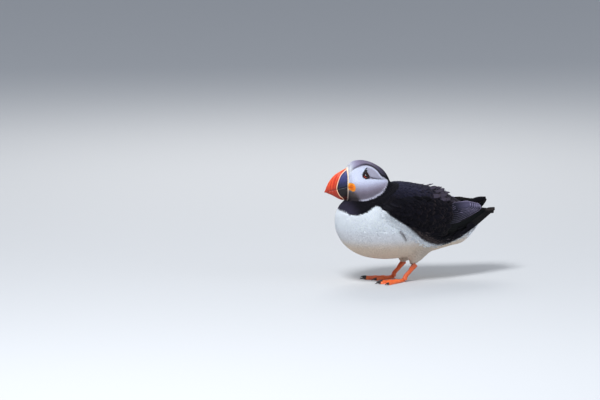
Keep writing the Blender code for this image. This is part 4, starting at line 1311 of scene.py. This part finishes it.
def rosette_folds(flat):
    """The gape's crease, the folds round the corner, the puckers across them and a fine grain, at flat points."""
    forth, out = np.moveaxis((flat - ROSETTE_SPOT) @ GAPE_WAY, -1, 0)
    solid = flat[..., [0, 0, 1]]
    crease = bell(out, 0.35 + 0.06 * np.maximum(forth, 0)) * ramp(forth, -1.8, 0.6)
    past = forth - 1.0
    round_it = np.hypot(np.minimum(past, 0) * 0.9 + np.maximum(past, 0) * 0.3, out * 0.85)
    fold = np.sin(2 * math.pi * (round_it / 1.25 + 0.35 * waves(solid, 3.2, 71)))
    pucker = np.sin(np.arctan2(out, forth - 3.0) * 17 + 2.0 * waves(solid, 2.4, 73)) * ramp(round_it, 0.8, 2.5)
    return crease, fold, pucker, waves(solid, 0.9, 72)


def rosette_relief(flat, q):
    """Height of the folds, which fade at the rosette's outline."""
    crease, fold, pucker, grain = rosette_folds(flat)
    return (-1.1 * crease + 0.17 * fold + 0.10 * pucker + 0.06 * grain) * (1 - q**6)


def rosette_colour(points):
    """Orange that turns yellow towards the outline, with painted shade in the fold troughs and a painted highlight on
    their crests, and deep red painted shade in the crease.
    """
    flat = points[:, 1:]
    crease, fold, pucker, grain = rosette_folds(flat)
    edge = ramp(np.linalg.norm((flat - ROSETTE_SPOT) / (4.4, 5.3), axis=-1), 0.45, 0.95)
    shade = (1 + 0.12 * fold + 0.06 * pucker + 0.05 * grain)[:, None]
    return painted(painted(ROSETTE_ORANGE, (ROSETTE_YELLOW, edge)) * shade, (CREASE_SHADE_RED, 0.9 * crease)).clip(0, 0.95)


def build_rosettes():
    """A fleshy rosette at each corner of the gape: two puckered lips with folds round the corner between them."""
    outline = oval(ROSETTE_SPOT, (3.9, 5.5), 0.1)
    outline = outline + (outline - ROSETTE_SPOT) * (0.05 * waves(outline[:, [0, 0, 1]], 2.5, 74))[:, None]
    for side, sign in SIDES:
        pad(f"gape_rosette_{side}", outline, sign, 1.9, 1.4, "rosette", rosette_colour, f"rosette_{side}",
            rows=40, relief=rosette_relief)


def plate_colour(points):
    """The one dark tone of the eye's plates."""
    return np.tile(PLATE_BLACK, (len(points), 1))


def build_eyes():
    """Eyeballs set deep in the face, each with a red lid ring, a dark triangular plate over it and a bar below."""
    surface, out = raised(lambda flat: on_grid(CHEEK, flat), EYE_SPOT, 0.0, step=1.5)
    up = unit(np.array([0, 0, 1.0]) - out * out[2])
    side_way = np.cross(out, up)

    rows, columns = 48, 64
    polar, round_it = every_pair(np.linspace(0.02, math.pi - 0.02, rows), ring_angles(columns))
    ball = np.stack([np.cos(polar), np.sin(polar) * np.cos(round_it), np.sin(polar) * np.sin(round_it)], -1)
    ball = surface - out * (EYE_SINK + FACE_SINK) + EYE_RADIUS * ball @ np.array([out, side_way, up])
    polar = np.degrees(polar)
    iris = painted(EYE_BLACK, (IRIS_BROWN, ramp(polar, 17, 19) * fall(polar, 30, 36)))

    turn, thick = ring_angles(72), ring_angles(16)
    spoke = np.stack([np.cos(turn), np.sin(turn)], -1) @ np.array([side_way, up])
    tube = 0.30 * (1 + 0.12 * np.sin(turn * 17))[:, None]
    low_front = fall(np.sin(turn), -0.7, 0.3) * fall(spoke[:, 1], -0.5, 0.5)
    radius = (3.1 + 0.15 * np.cos(turn - 2.2))[:, None] + np.cos(thick) * tube
    height = np.sin(thick) * tube - 0.75 + 0.5 * low_front[:, None]
    lid = surface + spoke[:, None] * radius[..., None] + out * height[..., None]
    # Only the lid's low front shows red; the rest of the ring is painted shadow from the plate above.
    lid_colour = painted(LID_SHADOW_DARK, (LID_RED, 0.05 + 0.95 * low_front)).repeat(len(thick), 0)

    plate, bar = smooth_outline(EYE_PLATE_EDGE, 72), oval((-38.6, 131.0), (2.9, 0.75), 0.12)
    for side, sign in SIDES:
        made = rings_mesh(f"eyeball_{side}", turned(ball.reshape(rows, columns, 3) * (sign, 1, 1)), EYE_WET)
        point_values(made, tint=iris)
        finish_piece(made, "eye", f"eye_{side}")
        made = rings_mesh(f"eye_ring_{side}", turned(lid * (sign, 1, 1)), BARE_SKIN, looped=True)
        point_values(made, tint=lid_colour)
        finish_piece(made, "bill_red")
        pad(f"eye_plate_{side}", plate, sign, 0.75, 0.7, "eye", plate_colour)
        pad(f"eye_bar_{side}", bar, sign, 0.6, 0.7, "eye", plate_colour)


# ---------------------------------------------------------------- legs and feet

FOOT_ORANGE, WEB_ORANGE, TOE_ORANGE = (0.74, 0.115, 0.022), (0.60, 0.085, 0.020), (0.85, 0.22, 0.05)
SCUTE_BROWN, ANKLE_BROWN, DIRT_AND_SHADE_BROWN = (0.28, 0.05, 0.02), (0.30, 0.10, 0.06), (0.25, 0.045, 0.02)
SHANK_FROM_ANKLE = [(0, 2.2, 1.8), (0, 1.0, 0.6), (0, -3.0, -3.4)]
SHANK_FROM_TOES = [(0, 8.6, 12.0), (0, 3.6, 7.2), (0, 2.0, 2.6)]
SHANK_RADII = [(2.8, 3.2), (2.9, 3.4), (2.5, 3.0), (2.0, 2.5), (2.3, 2.6), (2.9, 3.0)]
HEEL_END = -3.5  # where the foot starts, behind the toe joint
MARGIN = math.radians(4)  # web beyond the inner and outer toes


def tube_along(path, radii, count):
    """Elliptical rings square to a path in an upright plane: radii are (sideways, in the plane)."""
    run = unit(np.gradient(path, axis=0))
    across = unit(np.cross(run, (0, 0, 1.0)))
    round_it = radii[:, None] * np.stack([np.cos(ring_angles(count)), np.sin(ring_angles(count))], -1)
    return path[:, None] + round_it @ np.stack([across, np.cross(across, run)], 1)


def foot_frame(sign):
    """(toe joint, forward, sideways) of one foot, sideways pointing away from the body."""
    forward = np.array([sign * math.sin(FOOT_SPLAY), -math.cos(FOOT_SPLAY), 0.0])
    return TOE_JOINT * (sign, 1, 1), forward, np.array([-forward[1] * sign, forward[0] * sign, 0.0])


def build_shank(side, sign):
    """Bare lower leg with a row of broad scutes down its front."""
    joint, ankle = TOE_JOINT * (sign, 1, 1), ANKLE * (sign, 1, 1)
    rows, columns = 110, 40
    place = np.linspace(0, len(SHANK_RADII) - 1, rows)
    path = rows_through(np.vstack([ankle + SHANK_FROM_ANKLE, joint + SHANK_FROM_TOES]), place)
    rings = tube_along(path, rows_through(SHANK_RADII, place), columns)
    front = np.clip(np.sin(ring_angles(columns)), 0, 1)
    length = np.append(0, np.cumsum(np.linalg.norm(np.diff(path, axis=0), axis=1)))
    step = np.abs(np.sin(length * math.pi / 1.5))[:, None] ** 0.5
    small = waves(rings, 1.6, 81)
    rings = rings + unit(rings - path[:, None]) * (0.22 * step * front**0.6 + 0.12 * small)[..., None]
    made = rings_mesh(f"scaled_shank_{side}", rings, FOOT_SKIN)
    seams = 0.55 * (1 - step) * front + 0.15 * (small < -0.3)
    tint = painted(FOOT_ORANGE, (SCUTE_BROWN, seams), (ANKLE_BROWN, 0.5 * ramp(rings[..., 2], 15, 22)))
    point_values(made, tint=tint.reshape(-1, 3))
    finish_piece(made, "foot_orange", f"shank_{side}")


def build_foot(side, sign):
    """Webbed foot: slices fanned round the toe joint, ridged and knuckled along each toe, flat underneath."""
    joint, forward, outward = foot_frame(sign)
    toes, lengths = np.radians([toe[0] for toe in TOES]), np.array([toe[1] for toe in TOES])
    slices, steps, steps_below = 211, 80, 20
    angle = np.linspace(toes[0] - MARGIN, toes[-1] + MARGIN, slices)[:, None]
    apart = np.abs(angle - toes)
    own_length, apart = lengths[apart.argmin(1)][:, None], apart.min(1)[:, None]
    end = np.interp(angle, toes, lengths) * (1 - 0.16 * np.clip(apart / math.radians(11), 0, 1) ** 0.8)
    share = np.linspace(0, 1, steps)
    along = HEEL_END + (end - HEEL_END) * share
    spread = np.maximum(along, 3.0)

    knuckle = np.cos(along / own_length * 2 * math.pi * 3.2)
    ridge = bell(apart * spread, 2.3 * (1 + 0.10 * knuckle))
    heel = bell(np.maximum(along, 0), 4.0, 1)
    height = 1.3 + (4.4 * (1 - 0.35 * share) - 1.3) * np.maximum(ridge * (1 + 0.10 * knuckle), heel)
    seams = (1 - np.abs(np.sin(along * math.pi / 1.45)) ** 0.4) * ridge
    web = (1 - ridge) * ramp(along, 3, 9)
    folds = np.sin(angle * 95 + 1.2 * np.sin(along * 0.5)) * 0.12 + np.sin(along * 2.3 + angle * 30) * 0.06
    height = height - 0.28 * seams * ramp(along, 2, 5) + web * folds
    edge_gap = np.minimum(angle - angle[0], angle[-1] - angle) * spread
    for gap, size in ((edge_gap, 1.7), (end - along, 1.5), (along - HEEL_END, 2.2)):
        q = np.clip((gap + 0.05) / size, 0, 1)
        height = height * np.sqrt(q * (2 - q))

    fanned = outward * (angle * 6.0 * (1 - share) * np.clip((along - HEEL_END) / 8.0, 0.55, 1.0))[..., None]
    heading = forward * np.cos(angle)[..., None] + outward * np.sin(angle)[..., None]
    base = joint + heading * along[..., None] + fanned
    top = base + (0, 0, 1.0) * np.maximum(height, 0.08)[..., None]
    # Dirt in the scutes' seams, and painted shade in the troughs of the web's folds.
    tint = painted(
        FOOT_ORANGE, (WEB_ORANGE, 1 - np.maximum(ridge, heel)),
        (DIRT_AND_SHADE_BROWN, 0.45 * seams + 0.25 * np.clip(-folds * 5, 0, 1) * web),
        (TOE_ORANGE, 0.35 * ridge * (0.5 + 0.5 * knuckle)),
    )
    coarse = np.linspace(steps - 1, 0, steps_below).astype(int)
    made = rings_mesh(f"webbed_foot_{side}", np.concatenate([top, base[:, coarse]], 1), FOOT_SKIN)
    point_values(made, tint=np.concatenate([tint, tint[:, coarse] * 0.8], 1).reshape(-1, 3))
    finish_piece(made, "foot_orange", f"foot_{side}")
    for degrees, length, toe in TOES:
        build_claw(side, sign, math.radians(degrees), length, toe)


def build_claw(side, sign, angle, length, toe):
    """A curved claw that leaves the toe's end, thickest at its root, and comes down to the floor."""
    joint, forward, outward = foot_frame(sign)
    direction = forward * math.cos(angle) + outward * math.sin(angle)
    part = np.linspace(0, 1, 40)
    path = joint + direction * (length - 1.2 + 8.0 * part)[:, None]
    path[:, 2] = 1.75 + 0.9 * np.sin(math.pi * part * 0.8) - 1.6 * part**1.6
    radius = 1.55 * (1 - 0.9 * part**1.25)
    rings = tube_along(path, np.stack([radius * 0.78, radius], -1), 24)
    finish_piece(rings_mesh(f"claw_horn_{side}_{toe}", rings, CLAW_HORN), "claw", f"claw_{side}_{toe}")


# ---------------------------------------------------------------- stage

LIGHT_TARGET = (0, -0.02, 0.08)
CAMERA_RIGHT, CAMERA_AHEAD = np.array([0.4226, 0.9063, 0.0]), np.array([-0.8975, 0.4185, -0.1392])
CAMERA_AIM = CAMERA_RIGHT * -0.1374 + np.cross(CAMERA_RIGHT, CAMERA_AHEAD) * 0.0974
CAMERA_DISTANCE = 10.25


def area_light(name, place, size, power, colour, mirrored=True):
    """A round soft light on the bird, whose own reflection shows on glossy things only if mirrored."""
    data = bpy.data.lights.new(name, "AREA")
    data.shape, data.size, data.energy, data.color = "DISK", size, power, colour
    made = bpy.data.objects.new(name, data)
    made.location = place
    made.rotation_euler = (Vector(LIGHT_TARGET) - Vector(place)).to_track_quat("-Z", "Y").to_euler()
    made.visible_glossy = mirrored
    bpy.context.scene.collection.objects.link(made)


def build_stage():
    """Pale floor, pale surroundings, a soft key light from high on the left, and the camera."""
    mesh = bpy.data.meshes.new("floor")
    mesh.from_pydata([(-6, -6, 0), (6, -6, 0), (6, 6, 0), (-6, 6, 0)], [], [(0, 1, 2, 3)])
    floor = bpy.data.objects.new("floor", mesh)
    bpy.context.scene.collection.objects.link(floor)
    pale = bpy.data.materials.new("pale_floor")
    pale.use_nodes = True
    shader = pale.node_tree.nodes["Principled BSDF"].inputs
    shader["Base Color"].default_value = (0.50, 0.51, 0.52, 1)
    shader["Roughness"].default_value = 0.9
    mesh.materials.append(pale)

    world = bpy.data.worlds.new("studio")
    world.use_nodes = True
    sky = world.node_tree.nodes["Background"].inputs
    sky["Color"].default_value = (0.80, 0.87, 1.0, 1)
    sky["Strength"].default_value = 0.48
    bpy.context.scene.world = world
    area_light("key", (1.0, -1.0, 1.7), 0.7, 54, (0.95, 0.97, 1.0))
    area_light("fill", (1.2, 0.9, 0.5), 1.2, 5, (0.85, 0.92, 1.0), mirrored=False)
    area_light("back", (-1.2, 0.4, 1.1), 0.9, 12, (1.0, 0.97, 0.93), mirrored=False)

    data = bpy.data.cameras.new("camera")
    data.lens, data.sensor_width = 500, 36
    data.clip_start, data.clip_end = 0.1, 100
    camera = bpy.data.objects.new("camera", data)
    camera.location = CAMERA_AIM - CAMERA_AHEAD * CAMERA_DISTANCE
    camera.rotation_euler = Vector(CAMERA_AHEAD).to_track_quat("-Z", "Y").to_euler()
    bpy.context.scene.collection.objects.link(camera)
    bpy.context.scene.camera = camera


build_stage()
bpy.context.scene.view_settings.view_transform = "Standard"
build_skin()
build_coat()
build_back()
for side, sign in SIDES:
    build_wing(side, sign)
    build_flank(side, sign)
    build_shank(side, sign)
    build_foot(side, sign)
build_tail()
build_bill()
build_rim()
build_rosettes()
build_eyes()
